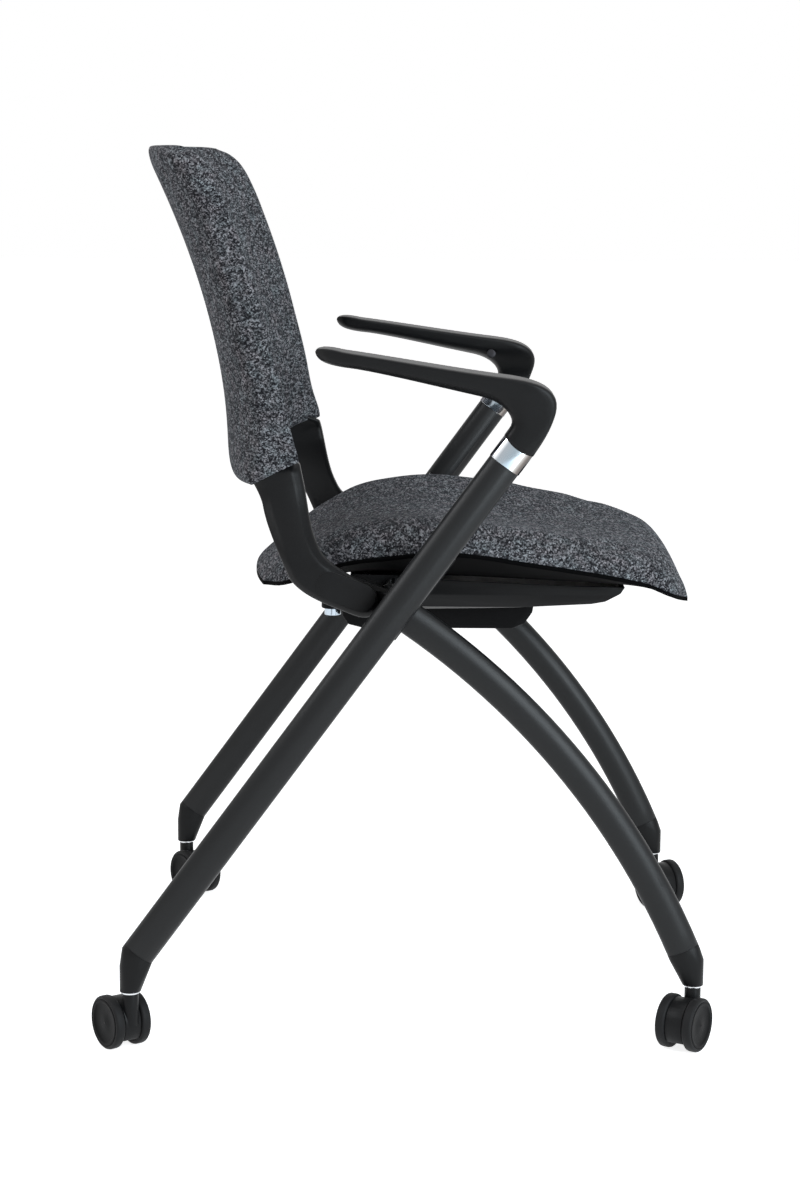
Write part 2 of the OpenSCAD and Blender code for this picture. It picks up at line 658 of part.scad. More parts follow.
// Rows are [share of the length, drop of the middle, of the side's crest, of the border and of the
// shell's underside, as shares of the height range, and the share of the half width]
seat_share = [
    [0, 0.6, 0.58, 0.63, 0.675, 0.62], [0.05, 0.44, 0.42, 0.5, 0.65, 0.8],
    [0.1, 0.34, 0.31, 0.41, 0.63, 0.89], [0.2, 0.21, 0.12, 0.32, 0.562, 0.965],
    [0.3, 0.16, 0.02, 0.28, 0.552, 0.99], [0.4, 0.15, 0, 0.25, 0.595, 1],
    [0.5, 0.17, 0.005, 0.265, 0.61, 1], [0.6, 0.2, 0.02, 0.33, 0.625, 1],
    [0.7, 0.235, 0.08, 0.395, 0.645, 0.99], [0.8, 0.315, 0.16, 0.465, 0.665, 0.965],
    [0.9, 0.43, 0.32, 0.575, 0.7, 0.91], [0.96, 0.62, 0.44, 0.65, 0.74, 0.83],
    [1, 0.84, 0.7, 0.95, 0.98, 0.68]
];
seat_bulge = 14;
function seat_x(u, v) = -seat_rear_x + (seat_len - seat_bulge * pow(v, 2)) * u + seat_bulge * pow(v, 2) * (1 - u);
function seat_y(u, v) = v * seat_half_w * smooth_at(seat_share, 5, u);
function seat_level(u, c) = seat_top - seat_drop * smooth_at(seat_share, c, u);
function seat_border(u, v) = seat_level(u, 3);
function seat_crown(u, v) = let (t = pow(v, 2), crest = seat_level(u, 2) * t + seat_level(u, 1) * (1 - t))
    seat_border(u, v) + (crest - seat_border(u, v)) * sqrt(1 - pow(v, 8)) * sqrt(1 - pow(2 * u - 1, 16));
// The shell's underside is flat in the middle and rises to the border at the sides
shell_flat = 0.6;
function shell_under(u, v) =
    let (t = max(0, abs(v) - shell_flat) / (1 - shell_flat), edge = seat_border(u, v) - shell_wall * 2,
         floor_z = min(seat_level(u, 4), edge))
    floor_z + (edge - floor_z) * pow(t, 1.3);
function seat_grid(f) = [for (i = [0 : seat_rows]) let (u = i / seat_rows)
    [for (j = [0 : seat_cols]) let (v = 2 * j / seat_cols - 1) [seat_x(u, v), seat_y(u, v), f(u, v)]]];

// The pad's board lies on the shell's rim and fills the shell's mouth
pad_seat = function (u, v) seat_border(u, v) - pad_board * (1 - pow(max(abs(v), abs(2 * u - 1)), 10));
pad_lip = 1;
pad_face = function (u, v) seat_crown(u, v) + pad_lip;

module seat_pad() color(dark_fabric)
    quilt(seat_grid(pad_seat), seat_grid(pad_face));

shell_out = function (u, v) shell_under(u, v);
shell_in = function (u, v) let (t = max(abs(v), abs(2 * u - 1)))
    min(pad_seat(u, v) - seat_gap,
        shell_under(u, v) + shell_wall + (pad_seat(u, v) - seat_gap - shell_under(u, v) - shell_wall) * pow(t, 8));

module seat_shell() color(black_plastic)
    quilt(seat_grid(shell_out), seat_grid(shell_in));

// Side outline of the tray, in shares of its length and depth, from its upper rear corner
tray_share = [0.099, 0.607];
tray_rear = beam_back + tray_share[0] * seat_len;
tray_len = tray_share[1] * seat_len;
tray_top_share = [[0, 1.03], [0.16, 1], [0.33, 0.88], [0.6, 0.8], [0.85, 0.74], [1, 0.72]];
tray_low_share = [[0.985, 0.56], [0.93, 0.33], [0.88, 0.26], [0.5, 0.1], [0.25, 0.02], [0.07, 0.04], [0.02, 0.2]];
tray_over_beam = 3;
tray_depth = beam_z + beam_r + tray_over_beam - tray_bottom;
bush_wall = 1.7;
boss_wall = 2.2;
bush_r = beam_r + bush_wall;
boss_half = bush_r + boss_wall;
bush_w = 18;
bush_inset = 0.5;
tray_corner = 26;

function tray_points(shares, inset) = [for (p = shares)
    [-tray_rear + inset + p[0] * (tray_len - 2 * inset),
     tray_bottom + inset + max(0, p[1] * tray_depth - seat_gap)]];

module tray_body(inset, rise) {
    intersection() {
        slab_y(-tray_half_w, tray_half_w) polygon(concat(
            [for (p = tray_points(tray_top_share, inset)) p + [0, rise]],
            tray_points(tray_low_share, inset)
        ));
        translate([-tray_rear - over, 0, tray_bottom]) rotate([90, 0, 90]) linear_extrude(height = tray_len + 2 * over)
            polygon([
                [-tray_half_w + inset, tray_depth * 2], [-tray_half_w + inset, tray_depth * 0.5],
                [-tray_half_w + inset + tray_corner * 0.3, tray_depth * 0.15],
                [-tray_half_w + inset + tray_corner, 0],
                [tray_half_w - inset - tray_corner, 0],
                [tray_half_w - inset - tray_corner * 0.3, tray_depth * 0.15],
                [tray_half_w - inset, tray_depth * 0.5], [tray_half_w - inset, tray_depth * 2]
            ]);
    }
}

module seat_tray() color(black_plastic) difference() {
    union() {
        difference() {
            tray_body(0, 0);
            tray_body(tray_wall, over);
        }
        intersection() {
            tray_body(0, 0);
            for (s = [-1, 1]) on_side(s)
                translate([beam_x - boss_half, tray_half_w - bush_w, tray_bottom])
                    cube([2 * boss_half, bush_w + over, tray_depth]);
        }
    }
    pin_y(beam_x, beam_z, bush_r + run_gap, -tray_half_w - over, tray_half_w + over);
}

module seat_bushes() color(tread_grey) for (s = [-1, 1]) on_side(s) difference() {
    pin_y(beam_x, beam_z, bush_r, tray_half_w - bush_w, tray_half_w - bush_inset);
    pin_y(beam_x, beam_z, beam_r + run_gap, tray_half_w - bush_w - over, tray_half_w + over);
}

// Mechanism box: the latch housing under the tray
box_share = [0.1225, 0.4377];
box_rear = beam_back + box_share[0] * seat_len;
box_len = box_share[1] * seat_len;
box_low_share = [[1, 1], [0.99, 0.6], [0.95, 0.2], [0.88, 0], [0.1, 0], [0.03, 0.12], [0, 0.45], [0, 1]];
box_depth = tray_bottom - seat_gap - box_bottom;
sleeve_r = 8;
sleeve_wall = 3;
sleeve_x = -box_rear - sleeve_r - sleeve_wall;
sleeve_y = -box_half_w / 2;
sleeve_bottom = box_bottom + box_depth * 0.25;
sleeve_top = tray_bottom + tray_depth * 0.5;

module mechanism_box() color(black_plastic) difference() {
    union() {
        slab_y(-box_half_w, box_half_w) polygon([for (p = box_low_share)
            [-box_rear + p[0] * box_len, box_bottom + p[1] * box_depth]]);
        translate([sleeve_x, sleeve_y, box_bottom + box_depth / 2])
            cylinder(r = sleeve_r + sleeve_wall, h = box_depth / 2);
        translate([sleeve_x, sleeve_y - sleeve_r - sleeve_wall, box_bottom + box_depth / 2])
            cube([2 * sleeve_r + 2 * sleeve_wall, 2 * (sleeve_r + sleeve_wall), box_depth / 2]);
    }
    translate([sleeve_x, sleeve_y, box_bottom - over]) cylinder(r = sleeve_r + run_gap, h = 3 * box_depth);
}

// Bright sleeve of the latch pin, let into the rear of the box
module latch_sleeve() color(bright_metal) translate([sleeve_x, sleeve_y, sleeve_bottom]) difference() {
    cylinder(r = sleeve_r, h = sleeve_top - sleeve_bottom);
    translate([0, 0, -over]) cylinder(r = sleeve_r - tube_wall, h = sleeve_top - sleeve_bottom + 2 * over);
}

screw_r = 2.5;
screw_head_r = 5;
screw_head_t = 2.5;

screw_rise_shares = [0.25, 0.8];
screw_side_shares = [-0.6, 0.6];

module seat_screws() color(bright_metal) for (x = screw_rise_shares, y = screw_side_shares)
    translate([-box_rear + x * box_len, y * box_half_w, box_bottom - screw_head_t])
        cylinder(r = screw_head_r, h = screw_head_t - run_gap);

// Castors

hood_r = 23;
hood_low = 10;
neck_r = 7.5;
collar_r = 8.5;
collar_t = 1.6;
wheel_gap = 0.75;
tread_t = 3.4;
axle_seat = 6;
stem_low = 32;

// The four castors: where each stem stands, and how far its trail is turned from forwards
rear_right = [-1, -1, 126.6];
rear_left = [-1, 1, -51.5];
front_right = [1, -1, -121];
front_left = [1, 1, -64.5];

// A castor's own axes: the origin on the floor under the stem, X along the trail
module at_caster(c) {
    translate([c[0] * stem_x, c[1] * (c[0] > 0 ? front_y : rear_y), 0]) rotate([0, 0, c[2]]) children();
}

module caster_body(c) color(black_plastic) at_caster(c) difference() {
    union() {
        intersection() {
            pin_y(trail, wheel_r, hood_r, -fork_w / 2, fork_w / 2);
            translate([trail - 2 * hood_r, -fork_w, hood_low]) cube([4 * hood_r, 2 * fork_w, 3 * hood_r]);
        }
        translate([0, 0, wheel_r]) cylinder(r = neck_r, h = foot_bottom - collar_t - 2 * seat_gap - wheel_r);
    }
    translate([0, 0, stem_low - seat_gap]) cylinder(r = stem_r + run_gap, h = foot_bottom);
    pin_y(trail, wheel_r, axle_r + run_gap, -fork_w, fork_w);
}

module caster_stem(c) color(bright_metal) at_caster(c) {
    translate([0, 0, stem_low]) cylinder(r = stem_r, h = foot_bottom + stem_depth - seat_gap - stem_low);
    translate([0, 0, foot_bottom - run_gap - collar_t]) cylinder(r = collar_r, h = collar_t);
}

module caster_axle(c) color(bright_metal) at_caster(c)
    pin_y(trail, wheel_r, axle_r, -fork_w / 2 - wheel_gap - axle_seat, fork_w / 2 + wheel_gap + axle_seat);

// A wheel on the side s of its castor, as a turned outline from the inner to the outer face
module wheel_place(c, s) {
    at_caster(c) translate([trail, s * (fork_w / 2 + wheel_gap), wheel_r]) rotate([-90 * s, 0, 0]) children();
}

hub_rim = 2.2;
hub_dish = 1.2;
module wheel(c, s) color(black_plastic) wheel_place(c, s) rotate_extrude() polygon([
    [axle_r + run_gap, 0], [wheel_r - tread_t, 0], [wheel_r - tread_t, wheel_t - hub_dish / 2],
    [wheel_r - tread_t - hub_rim / 2, wheel_t], [wheel_r - tread_t - hub_rim, wheel_t],
    [wheel_r - tread_t - 2 * hub_rim, wheel_t - hub_dish], [wheel_r / 3, wheel_t - hub_dish],
    [0, wheel_t - hub_dish / 3], [0, axle_seat + seat_gap], [axle_r + run_gap, axle_seat + seat_gap]
]);

tread_round = 2.4;
module tread(c, s) color(tread_grey) wheel_place(c, s) rotate_extrude() polygon(concat(
    [[wheel_r - tread_t + run_gap, 0], [wheel_r - tread_round, 0]],
    [for (a = [-60 : 30 : 0]) [wheel_r - tread_round * (1 - cos(a)), tread_round * (1 + sin(a))]],
    [for (a = [0 : 30 : 60]) [wheel_r - tread_round * (1 - cos(a)), wheel_t - tread_round * (1 - sin(a))]],
    [[wheel_r - tread_round, wheel_t], [wheel_r - tread_t + run_gap, wheel_t - hub_dish / 2]]
));

rear_leg(-1);  // rear_leg_right
rear_leg(1);  // rear_leg_left
front_leg(-1);  // front_leg_right
front_leg(1);  // front_leg_left
rear_foot(-1);  // rear_foot_right
rear_foot(1);  // rear_foot_left
front_foot(-1);  // front_foot_right
front_foot(1);  // front_foot_left
cross_beam();
side_bracket(-1);  // side_bracket_right
side_bracket(1);  // side_bracket_left
bracket_bolts();
arm_ring(-1);  // arm_ring_right
arm_ring(1);  // arm_ring_left
armrest(-1);  // armrest_right
armrest(1);  // armrest_left
arm_screws();
upright(-1);  // upright_right
upright(1);  // upright_left
upright_cap(-1);  // upright_cap_right
upright_cap(1);  // upright_cap_left
upright_bolts();
back_shell();
back_pad();
back_cover();
seat_pad();
seat_shell();
seat_tray();
seat_bushes();
seat_screws();
mechanism_box();
latch_sleeve();
caster_body(rear_right);  // caster_body_rear_right
caster_stem(rear_right);  // caster_stem_rear_right
caster_axle(rear_right);  // caster_axle_rear_right
wheel(rear_right, 1);  // wheel_outer_rear_right
wheel(rear_right, -1);  // wheel_inner_rear_right
tread(rear_right, 1);  // tread_outer_rear_right
tread(rear_right, -1);  // tread_inner_rear_right
caster_body(rear_left);  // caster_body_rear_left
caster_stem(rear_left);  // caster_stem_rear_left
caster_axle(rear_left);  // caster_axle_rear_left
wheel(rear_left, 1);  // wheel_outer_rear_left
wheel(rear_left, -1);  // wheel_inner_rear_left
tread(rear_left, 1);  // tread_outer_rear_left
tread(rear_left, -1);  // tread_inner_rear_left
caster_body(front_right);  // caster_body_front_right
caster_stem(front_right);  // caster_stem_front_right
caster_axle(front_right);  // caster_axle_front_right
wheel(front_right, -1);  // wheel_outer_front_right
wheel(front_right, 1);  // wheel_inner_front_right
tread(front_right, -1);  // tread_outer_front_right
tread(front_right, 1);  // tread_inner_front_right
caster_body(front_left);  // caster_body_front_left
caster_stem(front_left);  // caster_stem_front_left
caster_axle(front_left);  // caster_axle_front_left
wheel(front_left, 1);  // wheel_outer_front_left
wheel(front_left, -1);  // wheel_inner_front_left
tread(front_left, 1);  // tread_outer_front_left
tread(front_left, -1);  // tread_inner_front_left
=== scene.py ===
import math

import bpy
from mathutils import Matrix, Vector


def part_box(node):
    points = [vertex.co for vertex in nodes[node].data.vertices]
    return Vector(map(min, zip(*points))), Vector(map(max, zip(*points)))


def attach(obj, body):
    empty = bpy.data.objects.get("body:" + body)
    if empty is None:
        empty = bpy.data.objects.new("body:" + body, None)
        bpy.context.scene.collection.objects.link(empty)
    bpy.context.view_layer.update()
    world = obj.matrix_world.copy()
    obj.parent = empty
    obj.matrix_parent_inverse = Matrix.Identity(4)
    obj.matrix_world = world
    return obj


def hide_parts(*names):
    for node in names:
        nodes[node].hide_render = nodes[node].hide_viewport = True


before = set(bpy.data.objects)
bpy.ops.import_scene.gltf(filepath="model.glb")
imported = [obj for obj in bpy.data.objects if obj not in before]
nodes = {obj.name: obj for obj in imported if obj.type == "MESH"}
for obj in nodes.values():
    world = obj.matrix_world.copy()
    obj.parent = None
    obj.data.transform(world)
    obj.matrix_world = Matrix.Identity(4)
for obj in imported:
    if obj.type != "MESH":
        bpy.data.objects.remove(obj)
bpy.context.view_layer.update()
MM = 0.001

# Studio
# The chair stands on a white sweep in soft light. A large cool softbox stands on the camera's right,
# a smaller one high on its left and one overhead, and the white surroundings fill the rest.

# The camera's place in metres, its turn, tilt and roll, and its lens in millimetres
EYE = Vector((0.01828, -2.6208, 0.8065))
EYE_TURN = math.radians(0.7778)
EYE_DOWN = math.radians(9.3227)
EYE_ROLL = math.radians(0.2762)
LENS = 79.83
# The sweep's size in metres, its tone and its own light, and the light of the white surroundings
FLOOR_SIZE = 40.0
FLOOR_WHITE = (0.86, 0.86, 0.86, 1)
FLOOR_GLOW = 0.82
ROOM_FILL = 0.18

camera = bpy.data.objects.new("camera", bpy.data.cameras.new("camera"))
bpy.context.scene.collection.objects.link(camera)
camera.data.sensor_width = 36.0
camera.data.lens = LENS
camera.data.clip_end = 100.0
camera.matrix_world = (
    Matrix.Translation(EYE)
    @ Matrix.Rotation(EYE_TURN, 4, "Z")
    @ Matrix.Rotation(math.pi / 2 - EYE_DOWN, 4, "X")
    @ Matrix.Rotation(EYE_ROLL, 4, "Z")
)
bpy.context.scene.camera = camera
bpy.context.scene.view_settings.view_transform = "Standard"


def softbox(name, place, aim, size, power, colour):
    """A rectangular lamp at place, turned towards aim."""
    lamp = bpy.data.objects.new(name, bpy.data.lights.new(name, "AREA"))
    lamp.data.shape = "RECTANGLE"
    lamp.data.size = size[0]
    lamp.data.size_y = size[1]
    lamp.data.energy = power
    lamp.data.color = colour
    lamp.location = place
    lamp.rotation_mode = "QUATERNION"
    lamp.rotation_quaternion = (Vector(aim) - Vector(place)).to_track_quat("-Z", "Y")
    bpy.context.scene.collection.objects.link(lamp)


softbox("right_softbox", (1.6, -2.0, 1.2), (0, 0, 0.5), (1.2, 1.8), 64.0, (0.84, 0.94, 1.0))
softbox("left_softbox", (-1.5, -0.7, 1.75), (0, 0, 0.5), (0.6, 1.2), 17.0, (0.95, 0.97, 1.0))
softbox("top_softbox", (0.2, -0.2, 2.6), (0, 0, 0.4), (1.0, 1.6), 13.0, (1.0, 0.98, 0.98))


def seen_or_mirrored(tree):
    """1 for rays from the camera, a glossy surface or a clear one, and 0 for the rest."""
    ray = tree.nodes.new("ShaderNodeLightPath")
    first = tree.nodes.new("ShaderNodeMath")
    first.operation = "MAXIMUM"
    tree.links.new(ray.outputs["Is Camera Ray"], first.inputs[0])
    tree.links.new(ray.outputs["Is Glossy Ray"], first.inputs[1])
    second = tree.nodes.new("ShaderNodeMath")
    second.operation = "MAXIMUM"
    tree.links.new(first.outputs[0], second.inputs[0])
    tree.links.new(ray.outputs["Is Transmission Ray"], second.inputs[1])
    return second.outputs[0]


world = bpy.data.worlds.new("studio")
world.use_nodes = True
bpy.context.scene.world = world
air = world.node_tree
air.nodes["Background"].inputs["Color"].default_value = (1, 1, 1, 1)
level = air.nodes.new("ShaderNodeMapRange")
level.inputs["To Min"].default_value = ROOM_FILL
level.inputs["To Max"].default_value = 1.0
air.links.new(seen_or_mirrored(air), level.inputs["Value"])
air.links.new(level.outputs["Result"], air.nodes["Background"].inputs["Strength"])

floor_mesh = bpy.data.meshes.new("floor")
half = FLOOR_SIZE / 2
floor_mesh.from_pydata(
    [(-half, -half, 0), (half, -half, 0), (half, half, 0), (-half, half, 0)], [], [(0, 1, 2, 3)]
)
floor = bpy.data.objects.new("floor", floor_mesh)
bpy.context.scene.collection.objects.link(floor)
paper = bpy.data.materials.new("white_paper_sweep")
paper.use_nodes = True
tree = paper.node_tree
shade = tree.nodes["Principled BSDF"]
shade.inputs["Base Color"].default_value = FLOOR_WHITE
shade.inputs["Roughness"].default_value = 0.9
shade.inputs["Emission Color"].default_value = (1, 1, 1, 1)
glow = tree.nodes.new("ShaderNodeMath")
glow.operation = "MULTIPLY"
glow.inputs[1].default_value = FLOOR_GLOW
tree.links.new(seen_or_mirrored(tree), glow.inputs[0])
tree.links.new(glow.outputs[0], shade.inputs["Emission Strength"])
floor_mesh.materials.append(paper)


# Legs, cross beam and brackets
# Flat-oval steel tubes, bent and welded, in a satin black powder coat. The coat has a fine
# orange-peel surface, and it is a little duller where hands and other chairs rub it.


def node_group(name, inputs, outputs):
    """An empty shader group with named sockets: each is (name, socket type, default or None)."""
    group = bpy.data.node_groups.new(name, "ShaderNodeTree")
    for direction, sockets in (("INPUT", inputs), ("OUTPUT", outputs)):
        for label, kind, default in sockets:
            socket = group.interface.new_socket(name=label, in_out=direction, socket_type=kind)
            if default is not None:
                socket.default_value = default
    return group, group.nodes.new("NodeGroupInput"), group.nodes.new("NodeGroupOutput")


def add(tree, kind, links=(), operation=None, **values):
    """A node of that kind with its inputs linked or set. In a value's name, _ stands for a space."""
    made = tree.nodes.new(kind)
    if operation:
        made.operation = operation
    for key, value in values.items():
        made.inputs[key.replace("_", " ")].default_value = value
    for socket, source in links:
        tree.links.new(source, made.inputs[socket])
    return made


def build_grain():
    """Fine moulded or sprayed grain: a height for bump, a roughness and a shade of the base colour."""
    group, given, result = node_group(
        "fine_grain",
        [
            ("Grain Scale", "NodeSocketFloat", 900.0),
            ("Roughness", "NodeSocketFloat", 0.4),
            ("Roughness Spread", "NodeSocketFloat", 0.08),
            ("Color", "NodeSocketColor", (0.03, 0.03, 0.03, 1)),
            ("Shade Spread", "NodeSocketFloat", 0.1),
        ],
        [
            ("Height", "NodeSocketFloat", None),
            ("Roughness", "NodeSocketFloat", None),
            ("Color", "NodeSocketColor", None),
        ],
    )
    place = group.nodes.new("ShaderNodeTexCoord").outputs["Object"]
    fine = add(
        group, "ShaderNodeTexNoise", [("Vector", place), ("Scale", given.outputs["Grain Scale"])],
        Detail=2.0,
    )
    broad = add(group, "ShaderNodeTexNoise", [("Vector", place)], Scale=9.0, Detail=5.0, Roughness=0.62)
    centred = add(group, "ShaderNodeMath", [(0, broad.outputs["Fac"])], operation="SUBTRACT")
    centred.inputs[1].default_value = 0.5
    rough = add(
        group, "ShaderNodeMath",
        [
            (0, centred.outputs[0]), (1, given.outputs["Roughness Spread"]),
            (2, given.outputs["Roughness"]),
        ],
        operation="MULTIPLY_ADD",
    )
    shade_by = add(
        group, "ShaderNodeMath", [(0, centred.outputs[0]), (1, given.outputs["Shade Spread"])],
        operation="MULTIPLY_ADD",
    )
    shade_by.inputs[2].default_value = 1.0
    tinted = add(
        group, "ShaderNodeVectorMath", [(0, given.outputs["Color"]), ("Scale", shade_by.outputs[0])],
        operation="SCALE",
    )
    group.links.new(fine.outputs["Fac"], result.inputs["Height"])
    group.links.new(rough.outputs[0], result.inputs["Roughness"])
    group.links.new(tinted.outputs[0], result.inputs["Color"])
    return group


fine_grain = build_grain()
# How deep the grain is in metres, before each material's own bump
GRAIN_DEPTH = 0.0004


def grained(
    name, colour, roughness, grain_scale, bump,
    metallic=0.0, gloss=0.5, rough_spread=0.1, shade_spread=0.12,
):
    """A material with the fine grain in its bump, roughness and colour."""
    material = bpy.data.materials.new(name)
    material.use_nodes = True
    tree = material.node_tree
    surface = tree.nodes["Principled BSDF"]
    surface.inputs["Metallic"].default_value = metallic
    surface.inputs["Specular IOR Level"].default_value = gloss
    grain = tree.nodes.new("ShaderNodeGroup")
    grain.node_tree = fine_grain
    grain.inputs["Grain Scale"].default_value = grain_scale
    grain.inputs["Roughness"].default_value = roughness
    grain.inputs["Roughness Spread"].default_value = rough_spread
    grain.inputs["Color"].default_value = (*colour, 1)
    grain.inputs["Shade Spread"].default_value = shade_spread
    bumped = add(
        tree, "ShaderNodeBump", [("Height", grain.outputs["Height"])],
        Strength=bump, Distance=GRAIN_DEPTH,
    )
    tree.links.new(grain.outputs["Color"], surface.inputs["Base Color"])
    tree.links.new(grain.outputs["Roughness"], surface.inputs["Roughness"])
    tree.links.new(bumped.outputs["Normal"], surface.inputs["Normal"])
    return material


powder_coat = grained("satin_black_powder_coat", (0.007, 0.0074, 0.008), 0.38, 1100.0, 0.25, gloss=0.23)
# Corners of facets closer than this are joined, and edges sharper than this are rounded in these steps
FACET_JOIN = 0.00002
SHARP_ANGLE = math.radians(30)
EDGE_SEGMENTS = 3


def dress(node, material, bevel):
    """Gives a CAD node its finish, joins its facets and softens its sharp edges by the bevel's width."""
    piece = nodes[node]
    piece.data.materials.clear()
    piece.data.materials.append(material)
    for polygon in piece.data.polygons:
        polygon.use_smooth = True
    weld = piece.modifiers.new("weld", "WELD")
    weld.merge_threshold = FACET_JOIN
    soft = piece.modifiers.new("soft_edges", "BEVEL")
    soft.width = bevel
    soft.segments = EDGE_SEGMENTS
    soft.limit_method = "ANGLE"
    soft.angle_limit = SHARP_ANGLE
    soft.harden_normals = True


for side in ("right", "left"):
    dress("rear_leg_" + side, powder_coat, bevel=0.0006)
    dress("front_leg_" + side, powder_coat, bevel=0.0006)
    dress("side_bracket_" + side, powder_coat, bevel=0.001)
dress("cross_beam", powder_coat, bevel=0.0008)

# Bolts and screws
# Zinc-plated steel: two bolts through each bracket, two under each upright's cap, one in each
# armrest, and four below the mechanism box.
zinc_plate = grained("zinc_plated_steel", (0.5, 0.51, 0.53), 0.34, 700.0, 0.15, metallic=1.0)
for name in ("bracket_bolts", "upright_bolts", "seat_screws"):
    dress(name, zinc_plate, bevel=0.0004)
# The armrest's screw is the same zinc painted nearly black, as painted shade in its recess
zinc_painted_shade = grained("dark_zinc_screw", (0.045, 0.045, 0.05), 0.3, 700.0, 0.15, metallic=1.0)
dress("arm_screws", zinc_painted_shade, bevel=0.0004)

# Feet
# Black moulded nylon ends. Each is driven into a leg's tube, closes it, and turns it upright over
# the castor, whose stem it holds.
moulded_black = grained("moulded_black_nylon", (0.0065, 0.0066, 0.007), 0.38, 1500.0, 0.3, gloss=0.13)
for side in ("right", "left"):
    dress("rear_foot_" + side, moulded_black, bevel=0.0008)
    dress("front_foot_" + side, moulded_black, bevel=0.0008)

# Castors
# Twin-wheel castors: a moulded hood on a steel stem with a bright washer, and two black wheels
# with grey rubber treads on a steel axle.
dull_black = grained("dull_black_nylon", (0.004, 0.004, 0.0044), 0.5, 1500.0, 0.3, gloss=0.07)
castor_rubber = grained("grey_castor_rubber", (0.009, 0.009, 0.0095), 0.55, 1800.0, 0.4, gloss=0.15)
bright_steel = grained("bright_turned_steel", (0.62, 0.63, 0.65), 0.22, 500.0, 0.08, metallic=1.0)
for corner in ("rear_right", "rear_left", "front_right", "front_left"):
    dress("caster_body_" + corner, moulded_black, bevel=0.0012)
    dress("caster_stem_" + corner, bright_steel, bevel=0.0003)
    dress("caster_axle_" + corner, zinc_plate, bevel=0.0003)
    for place in ("outer", "inner"):
        dress("wheel_%s_%s" % (place, corner), dull_black, bevel=0.0005)
        dress("tread_%s_%s" % (place, corner), castor_rubber, bevel=0.0003)

# Rings
# A polished chrome sleeve between each straight leg and its armrest, slipped over the tube's inner
# sleeve and clamped between the two.

# Roughness, the grain's scale, and its bump
CHROME_GRAIN = (0.16, 300.0, 0.02)
chrome = grained(
    "polished_chrome", (0.42, 0.48, 0.54), *CHROME_GRAIN,
    metallic=1.0, rough_spread=0.05, shade_spread=0.03,
)
# Painted reflections on the polished sleeve, dark and bright bands in its colour from its rear border to
# its front one: share, then the tone
RING_PAINTED_REFLECTIONS = [
    (0, (0.06, 0.06, 0.07)), (0.07, (0.2, 0.2, 0.22)), (0.13, (0.95, 0.97, 1)),
    (0.22, (0.42, 0.46, 0.5)), (0.5, (0.36, 0.44, 0.5)), (0.64, (0.5, 0.58, 0.64)),
    (0.72, (0.97, 0.98, 1)), (0.79, (0.4, 0.38, 0.36)), (0.88, (0.16, 0.14, 0.13)),
    (1, (0.05, 0.05, 0.05)),
]
# The straight leg's run forward and its rise, and its lean from the vertical
LEG_RUN = 239
LEG_RISE = 327
LEAN = math.atan2(LEG_RUN, LEG_RISE)


def chrome_with_painted_reflections(name, node):
    """Polished metal with painted reflections: dark and bright bands, painted into its colour, that run
    along the leg.
    """
    material = grained(name, (0.5, 0.5, 0.5), *CHROME_GRAIN, metallic=1.0, rough_spread=0.05)
    tree = material.node_tree
    across = Vector((math.cos(LEAN), 0, -math.sin(LEAN)))
    reach = [v.co.dot(across) for v in nodes[node].data.vertices]
    place = tree.nodes.new("ShaderNodeTexCoord").outputs["Object"]
    along = add(tree, "ShaderNodeVectorMath", [(0, place)], operation="DOT_PRODUCT")
    along.inputs[1].default_value = across
    share = add(
        tree, "ShaderNodeMapRange", [("Value", along.outputs["Value"])],
        From_Min=min(reach), From_Max=max(reach),
    )
    bands = add(tree, "ShaderNodeValToRGB", [("Fac", share.outputs["Result"])])
    stops = bands.color_ramp.elements
    for at, tone in RING_PAINTED_REFLECTIONS[1:-1]:
        stops.new(at).color = (*tone, 1)
    stops[0].color = (*RING_PAINTED_REFLECTIONS[0][1], 1)
    stops[-1].color = (*RING_PAINTED_REFLECTIONS[-1][1], 1)
    tree.links.new(bands.outputs["Color"], tree.nodes["Principled BSDF"].inputs["Base Color"])
    return material


# Each ring's chrome carries the painted reflection bands, spread across that ring's own width
for side in ("right", "left"):
    ring_chrome = chrome_with_painted_reflections("ring_painted_reflection_" + side, "arm_ring_" + side)
    dress("arm_ring_" + side, ring_chrome, bevel=0.0004)


# Armrests
# Moulded in one piece of glass-filled nylon: a short neck over the ring, a round front corner, and a
# pad that thins towards its tip. The pad's top is nearly flat, with a firm edge all round.

# X and Z of the cross beam, the leg's and the ring's length above it, and so the foot of the neck
BEAM = (-20, 409)
LEG_TOP = 188
NECK = (BEAM[0] + LEG_TOP * math.sin(LEAN), BEAM[1] + LEG_TOP * math.cos(LEAN))
# The neck's half width and half thickness, how square it is, and the armrest's share that it takes
NECK_HALF_W = 15.9
NECK_HALF_T = 12.5
NECK_POWER = 3.0
NECK_SHARE = 0.16
# How far the neck's end reaches into the ring, and over what share of the armrest that fades
NECK_TONGUE = 3.2
TONGUE_SHARE = 0.05
# Length, rise and half width of the pad, and how far the leg's plane is from the chair's middle
ARM_LEN = 181
ARM_RISE = 83
ARM_HALF_PAD = 25
LEG_Y = 276
# Side view: the top line and the under line from the neck to the tip, in shares of length and rise
ARM_TOP = [
    [(0.12, 0.046), (0.158, 0.19), (0.178, 0.36)],
    [(0.206, 0.65), (0.06, 0.704), (-0.11, 0.745)],
    [(-0.35, 0.81), (-0.65, 0.92), (-0.86, 0.98)],
    [(-0.93, 1.02), (-1, 1.03), (-1, 0.965)],
]
ARM_UNDER = [
    [(-0.065, 0.14), (-0.05, 0.17), (-0.045, 0.2)],
    [(-0.02, 0.24), (-0.04, 0.45), (-0.2, 0.52)],
    [(-0.4, 0.61), (-0.65, 0.74), (-0.81, 0.79)],
    [(-0.9, 0.81), (-1, 0.84), (-1, 0.965)],
]
